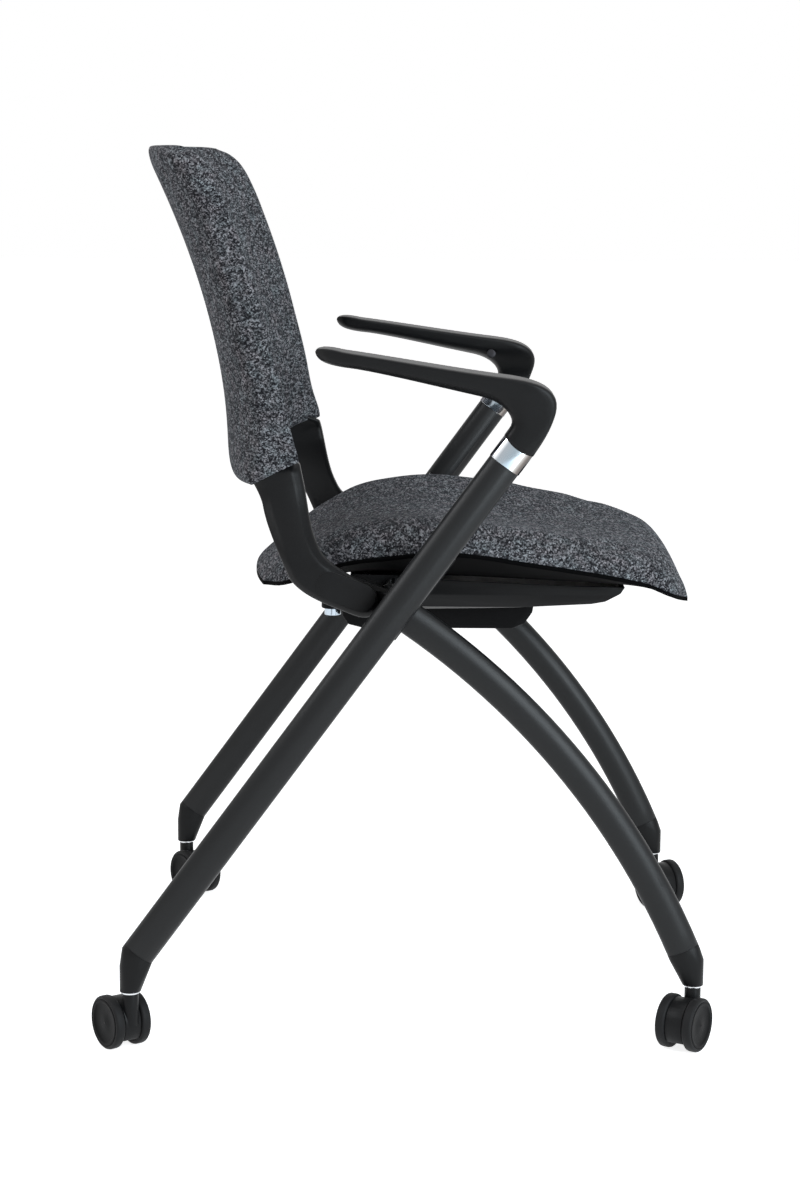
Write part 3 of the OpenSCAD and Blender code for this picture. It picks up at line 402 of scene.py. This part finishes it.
# Plan, in shares of the length and of the half width: how far the front corner lies ahead of the
# neck, then the half width from there to the tip
ARM_FRONT = 0.2
ARM_PLAN = [(0, 0.78), (0.1, 0.94), (0.3, 1), (0.6, 1), (0.85, 0.92), (0.96, 0.72), (1, 0.36)]
# The pad's middle lies inside the leg's plane: at the front, further at the tip, and by what power
ARM_INWARD = (6, 19, 1.5)
# Front view: where the neck starts to widen, over what share of the rise, and how much the pad's
# underside is narrower than its top
ARM_WIDENS = (0.22, 0.4)
ARM_UNDERCUT = 0.13
# Roundness of the section's corners above and below: the higher, the sharper
ARM_EDGE_POWERS = (9.0, 2.7)
# Even stations along the armrest, closer ones at its round tip, and points in each ring
ARM_STATIONS = 64
ARM_TIP_SHARES = [0.993, 0.998]
ARM_RING = 64
# The screw's recess: its room round the head, its sides, and its reach inwards and below the head
SCREW_ROOM = 0.4
SCREW_SIDES = 32
SCREW_REACH = (30, 2.6)


def path(start, spans, size, steps=24):
    """Points on a chain of cubic curves. Each span is two handles and an end, in shares of size."""
    points = [start]
    for span in spans:
        a, b, c, d = [points[-1]] + [(p[0] * size[0], p[1] * size[1]) for p in span]
        for i in range(1, steps + 1):
            t = i / steps
            weights = ((1 - t) ** 3, 3 * t * (1 - t) ** 2, 3 * t * t * (1 - t), t ** 3)
            points.append(tuple(sum(w * p[k] for w, p in zip(weights, (a, b, c, d))) for k in (0, 1)))
    return points


def spread(points, shares):
    """The points at those shares of a path's length."""
    lengths = [0.0]
    for a, b in zip(points, points[1:]):
        lengths.append(lengths[-1] + math.dist(a, b))
    found = []
    at = 0
    for share in shares:
        goal = share * lengths[-1]
        while at < len(points) - 2 and lengths[at + 1] < goal:
            at += 1
        t = (goal - lengths[at]) / max(1e-9, lengths[at + 1] - lengths[at])
        found.append(tuple(points[at][k] + t * (points[at + 1][k] - points[at][k]) for k in (0, 1)))
    return found


def straight_at(table, s):
    """A table's value at s, on straight lines between its rows."""
    for (a, low), (b, high) in zip(table, table[1:]):
        if s <= b:
            return low + (high - low) * (max(s, a) - a) / (b - a)
    return table[-1][1]


def eased(t):
    """0 to 1 with level ends."""
    t = min(1.0, max(0.0, t))
    return t * t * (3 - 2 * t)


def skin(name, rings, material, body, side):
    """A smooth mesh over closed rings of points in millimetres, mirrored when side is -1."""
    count = len(rings[0])
    points = [(p[0] * MM, side * p[1] * MM, p[2] * MM) for ring in rings for p in ring]
    faces = []
    for i in range(len(rings) - 1):
        for j in range(count):
            k = (j + 1) % count
            faces.append((i * count + j, i * count + k, (i + 1) * count + k, (i + 1) * count + j))
    faces.append(tuple(reversed(range(count))))
    faces.append(tuple((len(rings) - 1) * count + j for j in range(count)))
    mesh = bpy.data.meshes.new(name)
    mesh.from_pydata(points, [], [f if side > 0 else tuple(reversed(f)) for f in faces])
    mesh.validate()
    mesh.polygons.foreach_set("use_smooth", [True] * len(mesh.polygons))
    mesh.materials.append(material)
    piece = bpy.data.objects.new(name, mesh)
    bpy.context.scene.collection.objects.link(piece)
    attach(piece, body)
    return piece


def armrest(side_name, side):
    """Rings from the neck to the tip, each between the armrest's top line and its under line."""
    shares = [i / ARM_STATIONS for i in range(ARM_STATIONS)] + ARM_TIP_SHARES
    size = (ARM_LEN, ARM_RISE)
    foot = (NECK_HALF_W * math.cos(LEAN), -NECK_HALF_W * math.sin(LEAN))
    top = spread(path(foot, ARM_TOP, size), shares)
    under = spread(path((-foot[0], -foot[1]), ARM_UNDER, size), shares)
    rings = []
    for share, a, b in zip(shares, top, under):
        ring = []
        for j in range(ARM_RING):
            turn = 2 * math.pi * j / ARM_RING
            power = ARM_EDGE_POWERS[0] if math.sin(turn) > 0 else ARM_EDGE_POWERS[1]
            neck = 1 - eased(share / NECK_SHARE)
            power = power + (NECK_POWER - power) * neck
            across = math.copysign(abs(math.cos(turn)) ** (2 / power), math.cos(turn))
            up = math.copysign(abs(math.sin(turn)) ** (2 / power), math.sin(turn))
            x = (a[0] + b[0]) / 2 + (a[0] - b[0]) / 2 * up
            z = (a[1] + b[1]) / 2 + (a[1] - b[1]) / 2 * up
            wide = eased((z / ARM_RISE - ARM_WIDENS[0]) / ARM_WIDENS[1])
            plan = min(1.0, max(0.0, (ARM_FRONT - x / ARM_LEN) / (1 + ARM_FRONT)))
            middle = LEG_Y + wide * (-ARM_INWARD[0] - ARM_INWARD[1] * plan ** ARM_INWARD[2])
            half_w = NECK_HALF_T + wide * (ARM_HALF_PAD * straight_at(ARM_PLAN, plan) - NECK_HALF_T)
            half_w *= 1 - ARM_UNDERCUT * wide * (1 - up) / 2
            down = NECK_TONGUE * (1 - up * up) * (1 - eased(share / TONGUE_SHARE))
            ring.append((
                NECK[0] + x - down * math.sin(LEAN), middle + half_w * across,
                NECK[1] + z - down * math.cos(LEAN),
            ))
        rings.append(ring)
    piece = skin(
        "armrest_" + side_name + "_moulding", rings, moulded_black, "frame", side
    )
    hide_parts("armrest_" + side_name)
    sink_screw(piece, side)


def sink_screw(piece, side):
    """Cuts the recess round the head of the armrest's screw, open to the inner face."""
    low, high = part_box("arm_screws")
    radius = (high[2] - low[2]) / 2 + SCREW_ROOM * MM
    middle = ((low[0] + high[0]) / 2, (low[2] + high[2]) / 2)
    inner_y = min(abs(v.co.y) for v in nodes["arm_screws"].data.vertices)
    count = SCREW_SIDES
    turns = [2 * math.pi * i / count for i in range(count)]
    ring = [(middle[0] + radius * math.cos(t), middle[1] + radius * math.sin(t)) for t in turns]
    ends_y = (inner_y - SCREW_REACH[0] * MM, inner_y + SCREW_REACH[1] * MM)
    points = [(x, side * y, z) for y in ends_y for x, z in ring]
    faces = [tuple(range(count)), tuple(reversed(range(count, 2 * count)))]
    faces += [(i, count + i, count + (i + 1) % count, (i + 1) % count) for i in range(count)]
    mesh = bpy.data.meshes.new("cutter")
    mesh.from_pydata(points, [], faces)
    mesh.validate()
    cutter = bpy.data.objects.new("cutter", mesh)
    bpy.context.scene.collection.objects.link(cutter)
    cut = piece.modifiers.new("recess", "BOOLEAN")
    cut.operation = "DIFFERENCE"
    cut.solver = "EXACT"
    cut.object = cutter
    bpy.context.view_layer.objects.active = piece
    bpy.ops.object.modifier_apply(modifier="recess")
    bpy.data.objects.remove(cutter)


armrest("right", -1)
armrest("left", 1)

# Uprights
# Moulded arms that carry the back. The lobe is bolted to the beam's lug under an oval cap, and the
# end slides up into the back. A broad chamfer runs along the outer face's border.

# X and Z that the side lines are drawn from, and the depth and height that they are shares of
UPRIGHT_FOOT = (-34.5, 405)
UPRIGHT_SIZE = (116, 150)
UPRIGHT_START = (0, 0.07 * UPRIGHT_SIZE[1])
# Side view: the front line and the rear line, from the lobe's end to the top
UPRIGHT_FRONT = [
    [(0, 0.14), (-0.05, 0.155), (-0.142, 0.187)],
    [(-0.36, 0.28), (-0.44, 0.33), (-0.48, 0.415)],
    [(-0.553, 0.53), (-0.563, 0.7), (-0.622, 0.872)],
    [(-0.64, 0.885), (-0.74, 0.905), (-0.8, 0.93)],
]
UPRIGHT_REAR = [
    [(0, -0.03), (-0.07, -0.055), (-0.2, -0.015)],
    [(-0.42, 0.05), (-0.6, 0.1), (-0.687, 0.203)],
    [(-0.783, 0.38), (-0.872, 0.5), (-0.907, 0.63)],
    [(-0.92, 0.67), (-0.96, 0.73), (-1.01, 0.79)],
    [(-1.01, 0.83), (-1.01, 0.87), (-1.01, 0.9)],
]
UPRIGHT_T = 18
# The outer face's distance from the chair's middle at the lobe and at the top, the heights between
# which it leans inwards, and how much of that lean is straight
UPRIGHT_OUTER_Y = 250.75
UPRIGHT_TOP_Y = 222
UPRIGHT_LEAN = (42, 111)
UPRIGHT_STRAIGHT = 0.4
# Inside the back it leans further, by this much of the height above this one
TONGUE_LEAN = (0.7, 124)
# Depth below the face at each distance from the border, outside and inside
OUTER_BORDER = [(0, 6.4), (0.35, 5.4), (1.1, 4.4), (4.6, 1.25), (5.6, 0.55), (6.8, 0.12), (8, 0)]
INNER_BORDER = [(0, 3), (0.3, 1.9), (0.9, 0.9), (1.9, 0.3), (3, 0), (8, 0)]
# Both borders grow broader by this share, from this height on and over this stretch
BROAD_BORDER = (0.4, 45, 30)
# Points across the face, by their distance from the border where the upright has its full width
BORDER_STEPS = [0, 0.35, 1.1, 2.8, 4.6, 5.6, 6.8, 8.2, 10]
UPRIGHT_FULL_W = 26
# Stations along the upright: close ones at the lobe's round end, then even ones
UPRIGHT_STATIONS = 72
UPRIGHT_FIRST_SHARES = [0.004, 0.01, 0.02]
UPRIGHT_EVEN_FROM = 0.03


def edge_distance(point, a, b):
    """Distance from a point to the stretch between a and b."""
    along = (b[0] - a[0], b[1] - a[1])
    length = along[0] ** 2 + along[1] ** 2
    t = ((point[0] - a[0]) * along[0] + (point[1] - a[1]) * along[1]) / length if length else 0.0
    t = min(1.0, max(0.0, t))
    return math.dist(point, (a[0] + along[0] * t, a[1] + along[1] * t))


def upright(side_name, side):
    """Rings across the upright, whose faces sink towards the border by the tables above."""
    even = [i / UPRIGHT_STATIONS for i in range(UPRIGHT_STATIONS + 1)]
    shares = UPRIGHT_FIRST_SHARES + [UPRIGHT_EVEN_FROM + (1 - UPRIGHT_EVEN_FROM) * t for t in even]
    front_path = path(UPRIGHT_START, UPRIGHT_FRONT, UPRIGHT_SIZE)
    rear_path = path(UPRIGHT_START, UPRIGHT_REAR, UPRIGHT_SIZE)
    border = front_path[::-1] + rear_path[1:]
    rings = []
    for a, b in zip(spread(front_path, shares), spread(rear_path, shares)):
        width = math.dist(a, b)
        steps = [s * min(1, width / UPRIGHT_FULL_W) for s in BORDER_STEPS]
        places = [s / width for s in steps] + [0.5] + [1 - s / width for s in reversed(steps)]
        flat = [(a[0] + (b[0] - a[0]) * t, a[1] + (b[1] - a[1]) * t) for t in places]
        outer, inner = [], []
        for x, z in flat:
            near = min(edge_distance((x, z), p, q) for p, q in zip(border, border[1:]))
            near /= 1 + BROAD_BORDER[0] * eased((z - BROAD_BORDER[1]) / BROAD_BORDER[2])
            t = (z - UPRIGHT_LEAN[0]) / (UPRIGHT_LEAN[1] - UPRIGHT_LEAN[0])
            t = UPRIGHT_STRAIGHT * min(1, max(0, t)) + (1 - UPRIGHT_STRAIGHT) * eased(t)
            face = UPRIGHT_OUTER_Y + (UPRIGHT_TOP_Y - UPRIGHT_OUTER_Y) * t
            face -= TONGUE_LEAN[0] * max(0, z - TONGUE_LEAN[1])
            place = (UPRIGHT_FOOT[0] + x, UPRIGHT_FOOT[1] + z)
            outer.append((place[0], face - straight_at(OUTER_BORDER, near), place[1]))
            inner.append((place[0], face - UPRIGHT_T + straight_at(INNER_BORDER, near), place[1]))
        rings.append(outer + inner[::-1])
    piece = skin(
        "upright_" + side_name + "_moulding", rings, moulded_black, "frame", side
    )
    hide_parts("upright_" + side_name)


upright("right", -1)
upright("left", 1)
for side in ("right", "left"):
    dress("upright_cap_" + side, moulded_black, bevel=0.0006)


# Upholstery cloth
# A dark grey melange: black and pale yarns twisted together, so that the face is a fine
# salt-and-pepper speckle. Both cushions are sewn from it, and the foam below keeps it taut.
STITCH_DEPTH = 0.0008
# Plies are coarser than the stitches by this factor, and weigh this much in how pale a stitch is
PLY_SCALE = 0.5
PLY_WEIGHT = 0.4
# Over what range of that sum the yarn turns from dark to pale, and by what power
PALE_RANGE = (0.22, 1.25)
PALE_POWER = 2.2
# The simulation's pressure and length, and the most that it moves a point
PRESSURE = 4.0
CLOTH_FRAMES = 20
PUFF_MOST = 0.002
# How close to the ends of a cushion's last row its arch stays: the higher, the closer
ARCH_POWER = 8


def build_melange():
    """Speckled yarn: a colour and a height that change from stitch to stitch."""
    group, given, result = node_group(
        "melange_yarn",
        [
            ("Stitch Scale", "NodeSocketFloat", 880.0),
            ("Slub Shape", "NodeSocketVector", (1.0, 0.28, 1.0)),
            ("Dark Yarn", "NodeSocketColor", (0.007, 0.007, 0.009, 1)),
            ("Pale Yarn", "NodeSocketColor", (0.3, 0.28, 0.298, 1)),
            ("Cool Yarn", "NodeSocketColor", (0.26, 0.285, 0.303, 1)),
        ],
        [("Color", "NodeSocketColor", None), ("Height", "NodeSocketFloat", None)],
    )
    place = group.nodes.new("ShaderNodeTexCoord").outputs["Object"]
    drift = add(group, "ShaderNodeTexNoise", [("Vector", place)], Scale=260.0, Detail=2.0)
    bent = add(
        group, "ShaderNodeVectorMath", [(0, drift.outputs["Color"])],
        operation="SCALE", Scale=0.0016,
    )
    shifted = add(group, "ShaderNodeVectorMath", [(0, place), (1, bent.outputs[0])], operation="ADD")
    moved = add(
        group, "ShaderNodeVectorMath", [(0, shifted.outputs[0]), (1, given.outputs["Slub Shape"])],
        operation="MULTIPLY",
    )
    stitches = add(
        group, "ShaderNodeTexVoronoi",
        [("Vector", moved.outputs[0]), ("Scale", given.outputs["Stitch Scale"])],
    )
    yarn = add(group, "ShaderNodeSeparateColor", [("Color", stitches.outputs["Color"])])
    coarse = add(group, "ShaderNodeMath", [(0, given.outputs["Stitch Scale"])], operation="MULTIPLY")
    coarse.inputs[1].default_value = PLY_SCALE
    plies = add(
        group, "ShaderNodeTexVoronoi", [("Vector", moved.outputs[0]), ("Scale", coarse.outputs[0])]
    )
    ply = add(group, "ShaderNodeSeparateColor", [("Color", plies.outputs["Color"])])
    chance = add(
        group, "ShaderNodeMath", [(0, ply.outputs["Red"]), (2, yarn.outputs["Red"])],
        operation="MULTIPLY_ADD",
    )
    chance.inputs[1].default_value = PLY_WEIGHT
    share = add(
        group, "ShaderNodeMapRange", [("Value", chance.outputs[0])],
        From_Min=PALE_RANGE[0], From_Max=PALE_RANGE[1],
    )
    pale = add(group, "ShaderNodeMath", [(0, share.outputs["Result"])], operation="POWER")
    pale.inputs[1].default_value = PALE_POWER
    tint = add(group, "ShaderNodeTexNoise", [("Vector", place)], Scale=75.0, Detail=2.0)
    cool = add(
        group, "ShaderNodeMapRange", [("Value", tint.outputs["Fac"])], From_Min=0.3, From_Max=0.7
    )
    light = group.nodes.new("ShaderNodeMix")
    light.data_type = "RGBA"
    group.links.new(cool.outputs["Result"], light.inputs["Factor"])
    group.links.new(given.outputs["Pale Yarn"], light.inputs[6])
    group.links.new(given.outputs["Cool Yarn"], light.inputs[7])
    mix = group.nodes.new("ShaderNodeMix")
    mix.data_type = "RGBA"
    group.links.new(pale.outputs[0], mix.inputs["Factor"])
    group.links.new(given.outputs["Dark Yarn"], mix.inputs[6])
    group.links.new(light.outputs[2], mix.inputs[7])
    group.links.new(mix.outputs[2], result.inputs["Color"])
    group.links.new(stitches.outputs["Distance"], result.inputs["Height"])
    return group


melange_yarn = build_melange()
melange = bpy.data.materials.new("dark_melange_cloth")
melange.use_nodes = True
tree = melange.node_tree
cloth_face = tree.nodes["Principled BSDF"]
cloth_face.inputs["Roughness"].default_value = 0.92
cloth_face.inputs["Specular IOR Level"].default_value = 0.1
cloth_face.inputs["Sheen Weight"].default_value = 0.04
cloth_face.inputs["Sheen Roughness"].default_value = 0.4
cloth_face.inputs["Sheen Tint"].default_value = (0.75, 0.87, 1.0, 1)
yarns = tree.nodes.new("ShaderNodeGroup")
yarns.node_tree = melange_yarn
stitched = add(
    tree, "ShaderNodeBump", [("Height", yarns.outputs["Height"])],
    Strength=0.75, Distance=STITCH_DEPTH,
)
stitched.invert = True
tree.links.new(yarns.outputs["Color"], cloth_face.inputs["Base Color"])
tree.links.new(stitched.outputs["Normal"], cloth_face.inputs["Normal"])


def smooth_at(table, column, s):
    """A table's value at s in that column, on a smooth curve through its rows."""
    i = 0
    while i < len(table) - 2 and s >= table[i + 1][0]:
        i += 1
    last = len(table) - 1
    a, b, c, d = (table[max(0, min(last, k))][column] for k in (i - 1, i, i + 1, i + 2))
    t = (s - table[i][0]) / (table[i + 1][0] - table[i][0])
    return (
        b + t * (c - a) / 2 + t ** 2 * (a - 2.5 * b + 2 * c - d / 2)
        + t ** 3 * (1.5 * b - 1.5 * c + (d - a) / 2)
    )


def ends(t):
    """Runs from -1 to 1 as t does, with shorter steps near both ends."""
    return t * (1.5 - 0.5 * t * t)


def cushion(name, face, wall, rows, cols, arch=(0.0, 0.0)):
    """A closed mesh of two grids, face(side, u, v) in millimetres, joined by a wall of some rings,
    which arch lifts along the first row and at the last row's ends. Returns the object, its wall's and
    its lower grid's points."""
    points = []
    us = [(1 + ends(2 * i / rows - 1)) / 2 for i in range(rows + 1)]
    vs = [ends(2 * j / cols - 1) for j in range(cols + 1)]
    for d in (1, -1):
        points += [face(d, u, v) for u in us for v in vs]
    size = (rows + 1) * (cols + 1)
    rim = list(range(cols))
    rim += [i * (cols + 1) + cols for i in range(rows)]
    rim += [rows * (cols + 1) + j for j in range(cols, 0, -1)]
    rim += [i * (cols + 1) for i in range(rows, 0, -1)]
    faces = []
    for i in range(rows):
        for j in range(cols):
            k = i * (cols + 1) + j
            quad = (k, k + 1, k + cols + 2, k + cols + 1)
            faces.append(quad)
            faces.append(tuple(size + n for n in reversed(quad)))
    loops = [rim]
    for k in range(1, wall):
        loop = []
        t = k / wall
        for at, n in enumerate(rim):
            loop.append(len(points))
            x, y, z = (a + (b - a) * t for a, b in zip(points[n], points[size + n]))
            lift = arch[0] if at <= cols else 0
            if rows + cols <= at <= rows + 2 * cols:
                lift = arch[1] * (2 * (at - rows - cols) / cols - 1) ** ARCH_POWER
            points.append((x, y, z + lift * 4 * t * (1 - t)))
        loops.append(loop)
    loops.append([size + n for n in rim])
    for a, b in zip(loops, loops[1:]):
        for j in range(len(rim)):
            k = (j + 1) % len(rim)
            faces.append((a[j], b[j], b[k], a[k]))
    mesh = bpy.data.meshes.new(name)
    mesh.from_pydata([tuple(c * MM for c in p) for p in points], [], faces)
    mesh.validate()
    mesh.polygons.foreach_set("use_smooth", [True] * len(mesh.polygons))
    mesh.materials.append(melange)
    piece = bpy.data.objects.new(name, mesh)
    bpy.context.scene.collection.objects.link(piece)
    return piece, [i for loop in loops for i in loop], list(range(size, 2 * size))


def puff(piece, held, relax):
    """Relaxes the cushion in some steps, and blows it up by a cloth simulation with its held points
    fixed, which moves no point by more than PUFF_MOST. Then the cloth settles and is made finer."""
    bpy.context.view_layer.objects.active = piece
    smooth = piece.modifiers.new("smooth", "SMOOTH")
    smooth.factor = 0.5
    smooth.iterations = relax
    bpy.ops.object.modifier_apply(modifier="smooth")
    rest = [v.co.copy() for v in piece.data.vertices]
    pins = piece.vertex_groups.new(name="held")
    pins.add(held, 1.0, "REPLACE")
    cloth = piece.modifiers.new("cloth", "CLOTH")
    cloth.settings.quality = 6
    cloth.settings.mass = 0.3
    cloth.settings.tension_stiffness = 15
    cloth.settings.bending_stiffness = 3.0
    cloth.settings.use_pressure = True
    cloth.settings.uniform_pressure_force = PRESSURE
    cloth.settings.vertex_group_mass = "held"
    cloth.settings.effector_weights.gravity = 0
    cloth.point_cache.frame_start = 1
    cloth.point_cache.frame_end = CLOTH_FRAMES
    for step in range(1, CLOTH_FRAMES + 1):
        bpy.context.scene.frame_set(step)
    bpy.ops.object.modifier_apply(modifier="cloth")
    bpy.context.scene.frame_set(1)
    for vert, start in zip(piece.data.vertices, rest):
        move = vert.co - start
        if move.length > PUFF_MOST:
            vert.co = start + move.normalized() * PUFF_MOST
    settle = piece.modifiers.new("settle", "SMOOTH")
    settle.factor = 0.5
    settle.iterations = 3
    bpy.ops.object.modifier_apply(modifier="settle")
    subdivide = piece.modifiers.new("subdivide", "SUBSURF")
    subdivide.levels = 1
    subdivide.render_levels = 1


# Back
# Foam on both faces of a moulded shell, in a sock of the melange cloth that closes at its foot
# round the ends of the uprights.

# Half width, and the heights of the top and the foot
BACK_HALF_W = 226
BACK_TOP = 822
BACK_FOOT = 519
# Thickness in the middle, and how much thicker the sides are
BACK_T = 26
BACK_SIDE_SWELL = 18
# How far its rear face lies behind the origin at the foot
BACK_REAR = 184.7
# How far the top leans behind the foot, above what share of the height, and by what power
BACK_SWEEP = 80
BACK_SWEEP_FROM = 0.12
BACK_SWEEP_POWER = 1.75
# How far the sides come forward of the middle
BACK_WRAP = 32
# The hem rises towards the sides, its front is higher than its rear, it arches between them, and the
# sides are full above it over this share of the height
BACK_HEM_RISE = 8
BACK_HEM_TILT = 11
BACK_HEM_ARCH = 4.5
BACK_HEM_FULL = 0.18
# The top's two ears: their borders drop, by powers across and up the back, and they arch between them
BACK_EAR_DROP = 4.5
BACK_EAR_POWERS = (16, 40)
BACK_EAR_ARCH = 5.5
# Rows are [share of the height, share of the half width, side wrap share]
BACK_SIDES = [
    [0, 0.985, 1.08], [0.04, 0.995, 1.07], [0.12, 1, 1.03], [0.25, 1, 0.94], [0.4, 1, 0.85],
    [0.6, 0.995, 0.88], [0.75, 0.985, 0.95], [0.87, 0.965, 1.03], [0.94, 0.935, 1.04],
    [0.98, 0.895, 0.96], [1, 0.83, 0.88],
]
# How the face rolls over at the sides, the top and the foot: share of the thickness left, and power
BACK_RIMS = {-1: ((0.45, 12), (0.35, 60), (0.33, 26)), 1: ((0.35, 12), (0.4, 26), (0.8, 24))}
# Cells up and across each face, and steps of the wall between the two
BACK_GRID = (60, 72)
BACK_WALL = 5


def back_face(d, u, v):
    """A point of the rear face (d = -1) or the front face (d = 1)."""
    out = float(d)
    full = eased(1 - u / BACK_HEM_FULL) * v * v
    for e, (share, power) in zip((abs(v), u, 1 - u), BACK_RIMS[d]):
        share += (1 - share) * full
        out *= share + (1 - share) * math.sqrt(1 - min(1.0, e ** power))
    thick = BACK_T + BACK_SIDE_SWELL * v * v
    rear = (
        -BACK_REAR
        - BACK_SWEEP * (max(0.0, u - BACK_SWEEP_FROM) / (1 - BACK_SWEEP_FROM)) ** BACK_SWEEP_POWER
        + BACK_WRAP * smooth_at(BACK_SIDES, 2, u) * v * v
    )
    return (
        rear + thick / 2 * (1 + out),
        v * BACK_HALF_W * smooth_at(BACK_SIDES, 1, u),
        BACK_FOOT + (BACK_TOP - BACK_FOOT) * u + BACK_HEM_RISE * v * v * (1 - u)
        + BACK_HEM_TILT * d * (1 - u) ** 3
        - BACK_EAR_DROP * v ** BACK_EAR_POWERS[0] * u ** BACK_EAR_POWERS[1],
    )


back, back_wall, _ = cushion(
    "back_upholstery", back_face, BACK_WALL, *BACK_GRID, arch=(BACK_HEM_ARCH, BACK_EAR_ARCH)
)
puff(back, back_wall, relax=4)
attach(back, "frame")
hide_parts("back_pad", "back_cover", "back_shell")

# Seat underside
# A moulded shell whose flat floor rises to the pad's border, a tray that turns on the cross beam,
# and the box of the latch with its bright sleeve. The shell is the darkest piece: its black is painted
# darker and duller than the moulded nylon, as painted shade under the pad.

# The rear border behind the origin, length, half width, top, and the range that the rows' drops share
SEAT_REAR = 159
SEAT_LEN = 417.5
SEAT_HALF_W = 219
SEAT_TOP = 482
SEAT_DROP = 100
# How far the sides lie ahead of the middle at the rear border, and behind it at the front border
SEAT_BULGES = (14, 3.5)
# Rows are [share of the length, drop of the middle, of the side's crest, of the border and of the
# shell's floor as shares of the height range, share of the half width]
SEAT_ROWS = [
    [0, 0.61, 0.59, 0.655, 0.69, 0.62], [0.05, 0.49, 0.465, 0.6, 0.68, 0.8],
    [0.1, 0.35, 0.31, 0.51, 0.66, 0.89],
    [0.2, 0.179, 0.065, 0.36, 0.59, 0.965], [0.3, 0.125, -0.03, 0.3, 0.56, 0.99],
    [0.4, 0.112, -0.055, 0.255, 0.595, 1], [0.5, 0.16, -0.018, 0.275, 0.61, 1],
    [0.6, 0.21, 0.024, 0.335, 0.625, 1], [0.7, 0.25, 0.116, 0.397, 0.645, 0.99],
    [0.8, 0.3, 0.188, 0.466, 0.665, 0.965], [0.9, 0.352, 0.3, 0.565, 0.7, 0.91],
    [0.96, 0.37, 0.425, 0.683, 0.75, 0.83], [1, 0.54, 0.62, 0.763, 0.8, 0.68],
]
# How far the shell's rim lies below the pad's border, the pad's underside in its middle below that
# border, and the shell's inside below the underside
SHELL_RIM = 4
PAD_BOARD = 6
PAD_GAP = 0.3
# The floor is flat over this share of the half width, then rises to the rim by this power
SHELL_FLAT = 0.6
SHELL_POWER = 1.3
SHELL_WALL = 3
# How close to its rim the shell's inside rises: the higher, the closer
SHELL_RIM_POWER = 8
SHELL_GRID = (48, 48)


def seat_place(u, v, z):
    """A point over the share u of the seat's length and v of its half width."""
    bulge = SEAT_BULGES[0] * v * v * (1 - u) - SEAT_BULGES[1] * v * v * u
    return -SEAT_REAR + SEAT_LEN * u + bulge, -v * SEAT_HALF_W * smooth_at(SEAT_ROWS, 5, u), z


def shell_face(d, u, v):
    """A point of the shell's underside (d = -1) or of its inside (d = 1)."""
    border, level = (SEAT_TOP - SEAT_DROP * smooth_at(SEAT_ROWS, c, u) for c in (3, 4))
    rise = (max(0.0, abs(v) - SHELL_FLAT) / (1 - SHELL_FLAT)) ** SHELL_POWER
    level = min(level, border - SHELL_RIM)
    under = level + (border - SHELL_RIM - level) * rise
    if d < 0:
        return seat_place(u, v, under)
    rim = max(abs(v), abs(2 * u - 1)) ** SHELL_RIM_POWER
    inside = border - PAD_BOARD * (1 - rim) - PAD_GAP
    return seat_place(u, v, min(inside, under + SHELL_WALL + (inside - under - SHELL_WALL) * rim))


# Painted shade: the shell's nylon is given a darker, duller black than the other mouldings
shell_painted_shade_black = grained("black_nylon_painted_shade", (0.0024, 0.0024, 0.0026), 0.8, 1500.0, 0.3, gloss=0.018)
shell, _, _ = cushion("seat_shell_moulding", shell_face, 1, *SHELL_GRID)
shell.data.materials.clear()
shell.data.materials.append(shell_painted_shade_black)
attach(shell, "seat")
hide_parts("seat_shell")
dress("seat_tray", moulded_black, bevel=0.0015)
dress("mechanism_box", dull_black, bevel=0.003)
dress("latch_sleeve", chrome, bevel=0.0005)
dress("seat_bushes", moulded_black, bevel=0.0004)

# Seat pad
# Foam in the same cloth, highest along its two sides and rolled down at its front. The cloth is
# drawn over the rim of the shell and stapled to a board below the foam.
SEAT_GRID = (72, 64)
# How sharply the face rolls over at the sides, and at the front and the rear
SEAT_ROLL = (8, 16)
# How close to its border the pad's underside rises from the board: the higher, the closer
SEAT_BOARD_POWER = 10
# How far the pad's face stands above its border
PAD_PROUD = 1


def seat_face(d, u, v):
    """A point of the pad's underside (d = -1) or of its face (d = 1)."""
    middle, side_crest, border = (SEAT_TOP - SEAT_DROP * smooth_at(SEAT_ROWS, c, u) for c in (1, 2, 3))
    crest = side_crest * v * v + middle * (1 - v * v)
    if d > 0:
        side_roll = math.sqrt(1 - v ** SEAT_ROLL[0])
        end_roll = math.sqrt(1 - (2 * u - 1) ** SEAT_ROLL[1])
        return seat_place(u, v, PAD_PROUD + border + (crest - border) * side_roll * end_roll)
    inward = 1 - max(abs(v), abs(2 * u - 1)) ** SEAT_BOARD_POWER
    return seat_place(u, v, border - PAD_BOARD * inward)


seat, seat_wall, seat_under_points = cushion("seat_upholstery", seat_face, 1, *SEAT_GRID)
puff(seat, sorted(set(seat_wall + seat_under_points)), relax=1)
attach(seat, "seat")
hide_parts("seat_pad")
